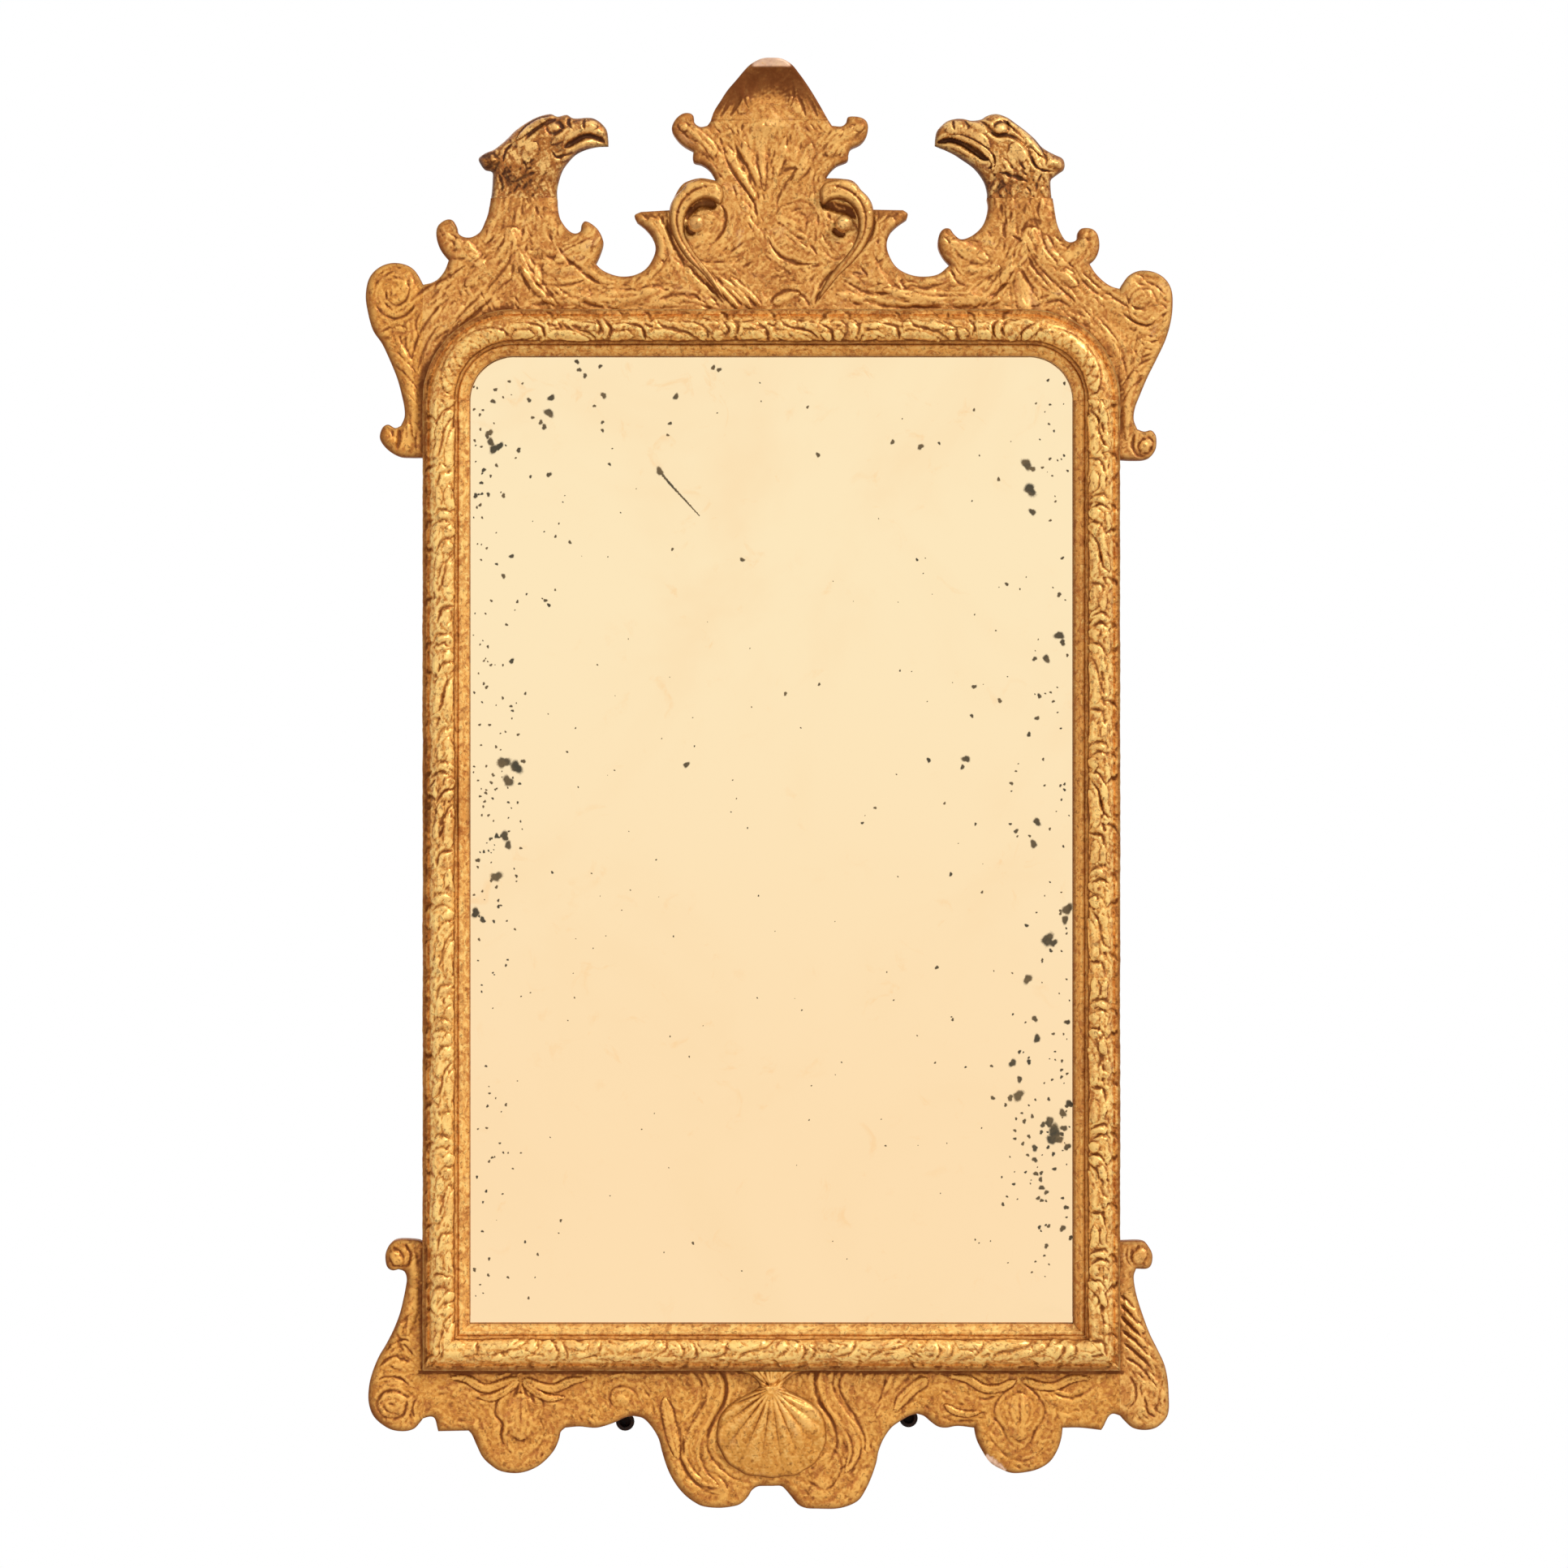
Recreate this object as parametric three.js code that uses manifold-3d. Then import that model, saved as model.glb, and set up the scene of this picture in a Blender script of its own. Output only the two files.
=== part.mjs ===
// Carved and gilded wall mirror with an eagle crest, a shaped apron and a bevelled plate.
// Millimetres. X runs to the right, Z runs up, and the front faces -Y.
// Y = 0 is the wall, and the origin lies on the back of the middle crest batten.

import * as THREE from 'three';
import { mergeVertices } from 'three/addons/utils/BufferGeometryUtils.js';
import Module from 'manifold-3d';

// ---------------------------------------------------------------- driving dimensions

const SIGHT_WIDTH = 518; // glass that shows between the stiles
const SIGHT_HEIGHT = 830; // glass that shows between the rails
const MOULDING_WIDTH = 40;
const REBATE_WIDTH = 10;
const REBATE_DEPTH = 16;
const LIP_THICKNESS = 3; // wood in front of the rebate at the glass
const OUTER_EDGE_HEIGHT = 25; // moulding's outer edge, from the frame's back
const CROWN_RISE = 12; // carved torus above the outer edge
const INNER_CORNER_RADIUS = 38; // upper corners of the sight
const CORNER_TAIL_LEFT = 71; // straight part of each corner block, up to the top rail's joint
const CORNER_TAIL_RIGHT = 44;

const BATTEN_THICKNESS = 14; // the battens keep the frame this far off the wall
const BOARD_THICKNESS = 18; // crest, apron and ears
const GLUE_LINE = 0.3; // every glued or seated face keeps this much
const SCREW_CLEARANCE = 0.3;

const CREST_HEIGHT = 214.5; // top of the frame to the top of the plume
const APRON_HEIGHT = 119.5; // foot of the frame to the lowest lobe
const EAGLE_INSET = 86; // eagle's neck, in from the frame's outer edge
const EAR_DROP_RIGHT = 7; // the right ear was carved this much lower
const DROP_INSET = 83; // apron's side drop, in from the frame's outer edge
const DROP_RADIUS = 39;

const GLASS_THICKNESS = 4;
const GLASS_EDGE_THICKNESS = 2.4; // left at the foot of the bevel
const GLASS_BEVEL_WIDTH = 19 + REBATE_WIDTH;
const BACKBOARD_THICKNESS = 8;
const BACKBOARD_COUNT = 3;
const BLOCK_LENGTH = 42;
const BLOCK_WIDTH = 7;

const EAGLE_HALF_THICKNESS = 15;
const HOOD_REACH = 16; // the plume's top curls forward this far
const SCROLL_RISE = 9; // acanthus scrolls above the board
const BEAD_RADIUS = 7.5;
const SHELL_HALF_WIDTH = 47;
const SHELL_HEIGHT = 78;
const SHELL_RISE = 11;
const SHELL_RIBS = 11;

const CREST_BATTEN_WIDTH = 40;
const NECK_BATTEN_WIDTH = 26;
const APRON_BATTEN_WIDTH = 60;
const BATTEN_SCREW_LENGTH = 27;
const BATTEN_SCREW_RADIUS = 2.1;
const SCREW_SINK = 0.6; // countersunk heads lie this far under the surface

const HANGER_DROP = 190; // ring axis below the top of the frame
const HANGER_WIDTH = 14;
const HANGER_THICKNESS = 1.6;
const HANGER_LENGTH = 46;
const RING_WIRE_RADIUS = 1.6;
const RING_INNER_WIDTH = 22;
const RING_DROP = 25; // hinge axis to the middle of the ring's round end
const RING_PLAY = 0.5; // wire in its loop
const RING_SEAM = 0.4; // the bent wire's two ends, hidden in the loop
const HANGER_SCREW_LENGTH = 15;
const HANGER_SCREW_RADIUS = 1.6;

const SOCKET_SPREAD = { left: 126, right: 118 }; // candle sockets, out from the middle
const SOCKET_DROP = { left: 46, right: 43 }; // below the foot of the frame
const SOCKET_RADIUS = 8;
const SOCKET_BORE_RADIUS = 4.5;
const SOCKET_LENGTH = 12.5;
const SOCKET_FLOOR = 2; // metal behind the blind bore
const SOCKET_STRAP_WIDTH = 15;
const SOCKET_STRAP_LENGTH = 36;
const SOCKET_STRAP_THICKNESS = 2;

// ---------------------------------------------------------------- places worked out from them

const halfSight = SIGHT_WIDTH / 2;
const halfFrame = halfSight + MOULDING_WIDTH;
const frameFoot = -MOULDING_WIDTH; // Z = 0 is the foot of the sight while the parts are drawn
const frameTop = SIGHT_HEIGHT + MOULDING_WIDTH;
const cornerX = halfSight - INNER_CORNER_RADIUS;
const cornerZ = SIGHT_HEIGHT - INNER_CORNER_RADIUS;
const outerCornerRadius = INNER_CORNER_RADIUS + MOULDING_WIDTH;

const frameBack = -BATTEN_THICKNESS - GLUE_LINE;
const boardFront = frameBack - BOARD_THICKNESS;
const eagleX = halfFrame - EAGLE_INSET;
const dropX = halfFrame - DROP_INSET;
const shellTop = frameFoot - GLUE_LINE;
const plumeTop = frameTop + CREST_HEIGHT;
const battenFoot = frameTop - MOULDING_WIDTH + REBATE_WIDTH + 2;
const originZ = frameTop + 40;
const hangerX = halfFrame - (MOULDING_WIDTH - REBATE_WIDTH) / 2;
const hangerZ = frameTop - HANGER_DROP;

// ---------------------------------------------------------------- finishes

const gilt = new THREE.MeshStandardMaterial({ color: 0xd39251, roughness: 0.48, metalness: 0.55 });
const pine = new THREE.MeshStandardMaterial({ color: 0x9a7448, roughness: 0.85, metalness: 0 });
const mirrorPlate = new THREE.MeshStandardMaterial({ color: 0xfde3b9, roughness: 0.04, metalness: 1 });
const brass = new THREE.MeshStandardMaterial({ color: 0xa8843c, roughness: 0.4, metalness: 0.9 });
const iron = new THREE.MeshStandardMaterial({ color: 0x1c1816, roughness: 0.6, metalness: 0.7 });

// ---------------------------------------------------------------- solids

const wasm = await Module();
wasm.setup();

function toSolid(geometry) {
  const bare = geometry.clone();
  bare.deleteAttribute('normal');
  bare.deleteAttribute('uv');
  const merged = mergeVertices(bare, 1e-4);
  return new wasm.Manifold(new wasm.Mesh({
    numProp: 3,
    vertProperties: merged.attributes.position.array,
    triVerts: new Uint32Array(merged.index.array),
  }));
}

function toGeometry(solid) {
  const mesh = solid.getMesh();
  const geometry = new THREE.BufferGeometry();
  geometry.setAttribute('position', new THREE.BufferAttribute(mesh.vertProperties, 3));
  geometry.setIndex(new THREE.BufferAttribute(mesh.triVerts, 1));
  geometry.computeVertexNormals();
  return geometry;
}

const joined = (...geometries) => toGeometry(
  geometries.map(toSolid).reduce((sum, solid) => sum.add(solid)));

const cut = (geometry, ...cutters) => toGeometry(
  cutters.map(toSolid).reduce((rest, solid) => rest.subtract(solid), toSolid(geometry)));

const common = (a, b) => toGeometry(toSolid(a).intersect(toSolid(b)));

function signedVolume(geometry) {
  const flat = geometry.index ? geometry.toNonIndexed() : geometry;
  const at = flat.getAttribute('position');
  const [a, b, c] = [new THREE.Vector3(), new THREE.Vector3(), new THREE.Vector3()];
  let sum = 0;
  for (let i = 0; i < at.count; i += 3) {
    a.fromBufferAttribute(at, i);
    b.fromBufferAttribute(at, i + 1);
    c.fromBufferAttribute(at, i + 2);
    sum += a.dot(b.cross(c)) / 6;
  }
  return sum;
}

// Moves every vertex by place(x, y, z) and keeps the faces pointing out.
function reshaped(geometry, place) {
  const flat = geometry.index ? geometry.toNonIndexed() : geometry.clone();
  const at = flat.getAttribute('position');
  for (let i = 0; i < at.count; i += 1) at.setXYZ(i, ...place(at.getX(i), at.getY(i), at.getZ(i)));
  if (signedVolume(flat) < 0) {
    for (let i = 0; i < at.count; i += 3) {
      const [x, y, z] = [at.getX(i + 1), at.getY(i + 1), at.getZ(i + 1)];
      at.setXYZ(i + 1, at.getX(i + 2), at.getY(i + 2), at.getZ(i + 2));
      at.setXYZ(i + 2, x, y, z);
    }
  }
  flat.deleteAttribute('uv');
  flat.computeVertexNormals();
  return flat;
}

const mirrored = (geometry, side) => reshaped(geometry, (x, y, z) => [side * x, y, z]);

// A flat outline drawn in X and Z, sawn from a board that spans front to back in Y.
function sawn(outline, front, back, curveSegments = 3) {
  const board = new THREE.ExtrudeGeometry(outline, {
    depth: back - front, bevelEnabled: false, curveSegments,
  });
  return reshaped(board, (x, y, z) => [x, back - z, y]);
}

function block(x0, x1, y0, y1, z0, z1) {
  const box = new THREE.BoxGeometry(x1 - x0, y1 - y0, z1 - z0);
  return box.translate((x0 + x1) / 2, (y0 + y1) / 2, (z0 + z1) / 2);
}

// A closed skin through rings that all have the same number of points, capped at both ends.
function lofted(rings) {
  const count = rings[0].length;
  const points = rings.flat().flatMap((p) => [p.x, p.y, p.z]);
  const faces = [];
  for (let r = 0; r + 1 < rings.length; r += 1) {
    for (let i = 0; i < count; i += 1) {
      const [a, b] = [r * count + i, r * count + ((i + 1) % count)];
      faces.push(a, b, b + count, a, b + count, a + count);
    }
  }
  const last = (rings.length - 1) * count;
  for (let i = 1; i + 1 < count; i += 1) {
    faces.push(0, i + 1, i, last, last + i, last + i + 1);
  }
  const geometry = new THREE.BufferGeometry();
  geometry.setAttribute('position', new THREE.Float32BufferAttribute(points, 3));
  geometry.setIndex(faces);
  return reshaped(geometry, (x, y, z) => [x, y, z]);
}

const product = new THREE.Group();

function add(name, geometry, finish, parent = product) {
  const mesh = new THREE.Mesh(geometry, finish);
  mesh.name = name;
  parent.add(mesh);
  return mesh;
}

const sides = [['left', -1], ['right', 1]];

// ---------------------------------------------------------------- screws and their holes

// A countersunk wood screw, driven from the back towards the front. A hole is the same form, wider.
function screwForm(radius, length, extra = 0) {
  const head = 2 * radius + extra;
  const shank = radius + extra;
  const end = length + extra;
  const point = radius;
  const profile = [
    new THREE.Vector2(0, -end),
    new THREE.Vector2(shank * 0.35, -end),
    new THREE.Vector2(shank, -end + point),
    new THREE.Vector2(shank, -head - extra),
    new THREE.Vector2(head, -extra),
    new THREE.Vector2(head, extra ? SCREW_SINK + 1 : 0),
    new THREE.Vector2(0, extra ? SCREW_SINK + 1 : 0),
  ];
  return new THREE.LatheGeometry(profile, 8);
}

const screws = [];

function drive(name, x, z, surface, radius, length, finish) {
  screws.push({ name, x, z, y: surface - SCREW_SINK, radius, length, finish });
}

const screwAt = (screw, extra) => screwForm(screw.radius, screw.length, extra)
  .translate(screw.x, screw.y, screw.z);

const holed = (geometry, isMine) => {
  const mine = screws.filter(isMine);
  return mine.length ? cut(geometry, ...mine.map((s) => screwAt(s, SCREW_CLEARANCE))) : geometry;
};

const crestBattenTop = plumeTop - 46;
const neckBattenTop = frameTop + 92;
const apronBattenFoot = frameFoot - 96;
const lowerBattenTop = frameFoot + MOULDING_WIDTH - REBATE_WIDTH - 2;

const railScrewInset = 14; // from the frame's outer edge
const backScrew = (name, x, z) => drive(
  name, x, z, 0, BATTEN_SCREW_RADIUS, BATTEN_SCREW_LENGTH, iron);

backScrew('crest_batten_screw_lower', 0, frameTop - railScrewInset + 4);
backScrew('crest_batten_screw_upper', 0, crestBattenTop - 30);
backScrew('apron_batten_screw_upper', 0, frameFoot + railScrewInset);
backScrew('apron_batten_screw_lower', 0, apronBattenFoot + 26);
for (const [side, s] of sides) {
  backScrew(`neck_batten_screw_lower_${side}`, s * eagleX, frameTop - railScrewInset + 4);
  backScrew(`neck_batten_screw_upper_${side}`, s * eagleX, neckBattenTop - 20);
}

const hangerSurface = frameBack + GLUE_LINE + HANGER_THICKNESS;
const socketSurface = frameBack + GLUE_LINE + SOCKET_STRAP_THICKNESS;
const hangerScrewDrops = [13.5, 37]; // below the ring's axis, either side of its round end
const socketScrewRises = [17, 29]; // above the socket's axis
for (const [side, s] of sides) {
  hangerScrewDrops.forEach((drop, i) => drive(
    `hanger_screw_${i + 1}_${side}`, s * hangerX, hangerZ - drop, hangerSurface,
    HANGER_SCREW_RADIUS, HANGER_SCREW_LENGTH, brass));
  socketScrewRises.forEach((rise, i) => drive(
    `socket_screw_${i + 1}_${side}`, s * SOCKET_SPREAD[side],
    frameFoot - SOCKET_DROP[side] + rise, socketSurface,
    HANGER_SCREW_RADIUS, HANGER_SCREW_LENGTH, iron));
}

// ---------------------------------------------------------------- moulded frame

// Section of the moulding: x runs in from the outer edge, y runs forward from the back.
function mouldingSection() {
  const quirk = MOULDING_WIDTH - 11;
  const torusStart = 6;
  const torusMiddle = (torusStart + quirk) / 2;
  const torusHalf = (quirk - torusStart) / 2;
  const edge = OUTER_EDGE_HEIGHT;
  const section = new THREE.Shape();
  section.moveTo(0, 0);
  section.lineTo(0, edge - 1.5);
  section.lineTo(1.5, edge);
  section.lineTo(torusStart, edge);
  section.absellipse(torusMiddle, edge, torusHalf, CROWN_RISE, Math.PI, 0, true);
  section.lineTo(quirk, edge - 1);
  section.lineTo(quirk + 1.5, edge - 1);
  section.absellipse(quirk + 3.5, edge - 1, 2, 2.2, Math.PI, 0, true);
  section.quadraticCurveTo(
    MOULDING_WIDTH - 4, REBATE_DEPTH + LIP_THICKNESS + 0.5,
    MOULDING_WIDTH, REBATE_DEPTH + LIP_THICKNESS);
  section.lineTo(MOULDING_WIDTH, REBATE_DEPTH);
  section.lineTo(MOULDING_WIDTH - REBATE_WIDTH, REBATE_DEPTH);
  section.lineTo(MOULDING_WIDTH - REBATE_WIDTH, 0);
  section.closePath();
  return section;
}

// One length of moulding. place(u, t) gives the X and Z of a line of the section at share t of it.
function mouldingLength(place, steps = 1) {
  const length = new THREE.ExtrudeGeometry(mouldingSection(), {
    depth: 1, steps, bevelEnabled: false, curveSegments: 4,
  });
  return reshaped(length, (u, d, t) => {
    const [x, z] = place(u, t);
    return [x, frameBack - d, z];
  });
}

const mix = (a, b, t) => a + (b - a) * t;
const cornerSteps = 12;

function buildFrame() {
  const bottom = mouldingLength((u, t) => [
    mix(-halfFrame + u, halfFrame - u, t), frameFoot + u]);
  const joints = { left: cornerX - CORNER_TAIL_LEFT, right: cornerX - CORNER_TAIL_RIGHT };
  const top = mouldingLength((u, t) => [
    mix(-joints.left + GLUE_LINE, joints.right - GLUE_LINE, t), frameTop - u]);
  add('bottom_rail', holed(bottom, (s) => s.name === 'apron_batten_screw_upper'), gilt);
  add('top_rail', holed(top, (s) => s.name === 'crest_batten_screw_lower'), gilt);
  for (const [side, s] of sides) {
    const stile = mouldingLength((u, t) => [
      s * (halfFrame - u), mix(frameFoot + u + GLUE_LINE * Math.SQRT2, cornerZ - GLUE_LINE, t)]);
    const corner = mouldingLength((u, t) => {
      const share = t * (cornerSteps + 1) / cornerSteps;
      const angle = Math.min(share, 1) * Math.PI / 2;
      const radius = outerCornerRadius - u;
      const x = share > 1.001 ? joints[side] : cornerX + radius * Math.cos(angle);
      return [s * x, cornerZ + radius * Math.sin(angle)];
    }, cornerSteps + 1);
    add(`stile_${side}`, holed(stile, (c) => c.name.startsWith('hanger')
      && c.name.endsWith(side)), gilt);
    add(`corner_block_${side}`, holed(corner, (c) => (
      c.name === `neck_batten_screw_lower_${side}`)), gilt);
  }
}

// ---------------------------------------------------------------- crest

// Half outlines are drawn for the right, from the middle outwards, and mirrored for the left.
// Each stretch is a smooth curve through its points, and stretches meet at corners.
function halfCrest() {
  const up = (rise) => frameTop + rise;
  const plume = [[0, plumeTop], [9, plumeTop - 0.6], [16, plumeTop - 3], [26, plumeTop - 13],
    [35, plumeTop - 28], [43, plumeTop - 42], [51, plumeTop - 55]];
  const plumeCurl = [[51, plumeTop - 55], [58, plumeTop - 56], [65, plumeTop - 53],
    [66, plumeTop - 46], [73, plumeTop - 45], [81, plumeTop - 50], [84, plumeTop - 58],
    [80, plumeTop - 68], [67, plumeTop - 76]];
  const waist = [[66, plumeTop - 85], [56, plumeTop - 90], [49, plumeTop - 97],
    [46, plumeTop - 104]];
  const scrollBack = [[46, up(108)], [58, up(109.5)], [70, up(108)], [80, up(99)], [87, up(84)]];
  const leafTip = [[87, up(84)], [114, up(84)], [117, up(80)], [113, up(74)]];
  const bay = [[113, up(74)], [103, up(66)], [99, up(54)], [104, up(40)], [116, up(31)]];
  const valley = [[116, up(31)], [mix(116, eagleX - 60, 0.5), up(28)], [eagleX - 60, up(38)]];
  const innerCurl = [[eagleX - 57, up(41)], [eagleX - 66, up(49)], [eagleX - 69, up(59)],
    [eagleX - 64, up(69)], [eagleX - 57, up(67)], [eagleX - 51, up(61)], [eagleX - 41, up(61)],
    [eagleX - 33, up(69)], [eagleX - 29.5, up(84)], [eagleX - 29, up(96)]];
  const outerCurl = [[eagleX + 29, up(96)], [eagleX + 31, up(80)], [eagleX + 37, up(65)],
    [eagleX + 45, up(60)], [eagleX + 53, up(62)]];
  const outerLobe = [[eagleX + 54, up(71)], [eagleX + 62, up(75)], [eagleX + 70, up(70)],
    [eagleX + 73, up(58)], [eagleX + 69, up(47)], [eagleX + 60, up(38)]];
  const shoulder = [[eagleX + 60, up(38)], [eagleX + 68, up(26)], [eagleX + 78, up(19.5)],
    [halfFrame - GLUE_LINE, up(18)]];
  return [plume, plumeCurl, waist, scrollBack, leafTip, bay, valley, innerCurl,
    outerCurl, outerLobe, shoulder];
}

// Follows the stretches along the right half and back along the mirrored left half.
function throughStretches(shape, stretches, s) {
  const ordered = s > 0 ? stretches : stretches.map((points) => [...points].reverse()).reverse();
  for (const stretch of ordered) {
    const points = stretch.map(([x, z]) => new THREE.Vector2(s * x, z));
    shape.lineTo(points[0].x, points[0].y);
    shape.splineThru(points.slice(1));
  }
}

// Points round the outside of an upper corner block, a glue line clear of its facets.
function cornerRim(edge) {
  const rim = outerCornerRadius + GLUE_LINE;
  const points = Array.from({ length: cornerSteps + 1 }, (_, i) => {
    const angle = (1 - i / cornerSteps) * Math.PI / 2;
    return new THREE.Vector2(cornerX + rim * Math.cos(angle), cornerZ + rim * Math.sin(angle));
  });
  const inside = points.filter((point) => point.x < edge - 0.2);
  const [near, far] = [inside.at(-1), points[inside.length]];
  inside.push(near.clone().lerp(far, (edge - near.x) / (far.x - near.x)));
  return inside;
}

function crestOutline() {
  const outline = new THREE.Shape();
  const edge = halfFrame - GLUE_LINE;
  const rim = cornerRim(edge);
  outline.moveTo(-edge, rim.at(-1).y);
  throughStretches(outline, halfCrest(), -1);
  throughStretches(outline, halfCrest(), 1);
  for (const point of [...rim].reverse()) outline.lineTo(point.x, point.y);
  for (const point of rim.slice(0, -1)) outline.lineTo(-point.x, point.y);
  outline.closePath();
  return outline;
}

// The plume's front: a cove that sweeps forward to a thick rolled lip at the top.
function plumeHood() {
  const foot = plumeTop - 52;
  const back = boardFront - GLUE_LINE;
  const cove = new THREE.Shape();
  cove.moveTo(foot, 0);
  cove.quadraticCurveTo(plumeTop - 12, 1.5, plumeTop - 7, HOOD_REACH - 3);
  cove.quadraticCurveTo(plumeTop - 5, HOOD_REACH, plumeTop - 1, HOOD_REACH);
  cove.lineTo(plumeTop + 5, HOOD_REACH);
  cove.lineTo(plumeTop + 5, 0);
  const swept = new THREE.ExtrudeGeometry(cove, {
    depth: 140, steps: 1, bevelEnabled: false, curveSegments: 8,
  });
  const slab = reshaped(swept, (z, reach, x) => [x - 70, back - reach, z]);
  const face = new THREE.Shape();
  const edge = halfCrest()[0].map(([x, z]) => new THREE.Vector2(x, z));
  face.moveTo(-edge.at(-1).x, edge.at(-1).y);
  face.splineThru([...edge].reverse().slice(1).map((p) => new THREE.Vector2(-p.x, p.y)));
  face.splineThru(edge.slice(1));
  face.closePath();
  return common(slab, sawn(face, back - HOOD_REACH - 5, back + 1, 3));
}

// A leaf that rises from the foot of the cartouche and curls over its bead.
function acanthusScroll() {
  const up = (rise) => frameTop + rise;
  const outline = new THREE.Shape();
  const outer = [[40, 7], [57, 28], [73, 44], [83, 60], [87.5, 74], [86.5, 88], [80, 101],
    [69, 109.5], [56, 111], [45, 106], [40.5, 98]];
  const inner = [[44, 88], [53, 92], [63, 91], [71, 86], [76, 77], [76, 66], [72, 55],
    [63, 44], [51, 32], [44, 19], [40, 7]];
  outline.moveTo(outer[0][0], up(outer[0][1]));
  outline.splineThru(outer.slice(1).map(([x, z]) => new THREE.Vector2(x, up(z))));
  outline.lineTo(inner[0][0], up(inner[0][1]));
  outline.splineThru(inner.slice(1, -1).map(([x, z]) => new THREE.Vector2(x, up(z))));
  outline.closePath();
  const back = boardFront - GLUE_LINE;
  const round = 1.6;
  const leaf = new THREE.ExtrudeGeometry(outline, {
    depth: SCROLL_RISE - round, curveSegments: 2, bevelEnabled: true,
    bevelThickness: round, bevelSize: round, bevelOffset: -round, bevelSegments: 2,
  });
  const rounded = reshaped(leaf, (x, y, z) => [x, back - z, y]);
  const keep = block(0, 200, back - SCROLL_RISE - 5, back, up(-20), up(140));
  return common(rounded, keep);
}

// ---------------------------------------------------------------- eagle heads

// Stations run from the neck to the tip of the beak. Each gives the throat's point, the crown's
// point and half the thickness, as offsets from the neck's middle and the top of the frame.
const eagleStations = [
  { throat: [-29, 96], crown: [29, 96], half: 0.72 },
  { throat: [-29.5, 108], crown: [28.5, 110], half: 0.78 },
  { throat: [-31.5, 117], crown: [29, 125], half: 0.92 },
  { throat: [-35, 124], crown: [20, 141], half: 1 },
  { throat: [-38.5, 129], crown: [6, 155], half: 1 },
  { throat: [-43, 134], crown: [-12, 166], half: 0.92 },
  { throat: [-48, 137], crown: [-27, 168], half: 0.78 },
  { throat: [-54, 139.5], crown: [-41, 165.5], half: 0.64 },
  { throat: [-61, 140.5], crown: [-56, 165], half: 0.52 },
  { throat: [-68, 140.5], crown: [-67, 159], half: 0.38 },
  { throat: [-73, 140], crown: [-73, 149], half: 0.22 },
];

function eagleHead() {
  const around = 16;
  const middleY = frameBack - BOARD_THICKNESS / 2 - 1;
  const rings = eagleStations.map(({ throat, crown, half }) => Array.from(
    { length: around }, (_, i) => {
      const angle = (i / around) * 2 * Math.PI;
      const share = (1 - Math.cos(angle)) / 2;
      const x = mix(throat[0], crown[0], share);
      const z = mix(throat[1], crown[1], share);
      const y = middleY - Math.sin(angle) * half * EAGLE_HALF_THICKNESS;
      return new THREE.Vector3(eagleX + x, y, frameTop + GLUE_LINE + z);
    }));
  const skull = lofted(rings);
  const ball = (x, z, y, rx, ry, rz, tilt = 0) => {
    const form = new THREE.SphereGeometry(1, 10, 6).scale(rx, ry, rz).rotateY(tilt);
    return form.translate(eagleX + x, middleY + y, frameTop + z);
  };
  const nape = ball(33, 125, 0, 9, EAGLE_HALF_THICKNESS * 0.6, 6.5, -0.5);
  const features = [nape];
  for (const face of [-1, 1]) {
    const cheek = face * EAGLE_HALF_THICKNESS;
    features.push(ball(-17, 157, cheek * 0.66, 13, 3.6, 4, 0.55)); // brow
    features.push(ball(-16, 149.5, cheek * 0.82, 4.2, 3, 3.6)); // eye
    features.push(ball(-30, 143, cheek * 0.72, 9, 3.2, 3, -0.75)); // gape
  }
  const gape = new THREE.Shape();
  gape.moveTo(-35, 139);
  gape.splineThru([[-45, 148], [-56, 152], [-67, 149.5]].map((p) => new THREE.Vector2(...p)));
  gape.splineThru([[-56, 147], [-46, 143], [-35, 139]].map((p) => new THREE.Vector2(...p)));
  const slot = new THREE.ExtrudeGeometry(gape, { depth: 9, bevelEnabled: false, curveSegments: 3 });
  const mouths = [-1, 1].map((face) => reshaped(slot, (x, y, z) => [
    eagleX + x, middleY + face * (3.2 + z), frameTop + y]));
  return cut(joined(skull, ...features), ...mouths);
}

// ---------------------------------------------------------------- ears

function upperEarOutline(drop) {
  const edge = halfFrame + GLUE_LINE;
  const out = (reach) => halfFrame + reach;
  const up = (rise) => frameTop + rise;
  const scrollFoot = up(-127);
  const outline = new THREE.Shape();
  outline.moveTo(edge, scrollFoot);
  outline.lineTo(edge, up(18));
  outline.splineThru([[4, 28], [11, 35], [21, 39.5], [31, 39], [42, 32], [49, 20], [49.5, 8],
    [45, -9], [37, -26], [29, -43], [22, -62], [17, -77], [15, -90]]
    .map(([x, z]) => new THREE.Vector2(out(x * (1 - drop / 70)), up(z - drop * (z > -60 ? 1 : 0.4)))));
  const volute = [[16, -97], [22, -100], [29, -99], [35, -105], [36.5, -112], [33, -120],
    [26, -125.5], [18, -127.5]];
  outline.splineThru(volute.map(([x, z]) => new THREE.Vector2(out(x), up(z - drop * 0.4))));
  outline.lineTo(out(8), scrollFoot);
  outline.closePath();
  return outline;
}

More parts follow.
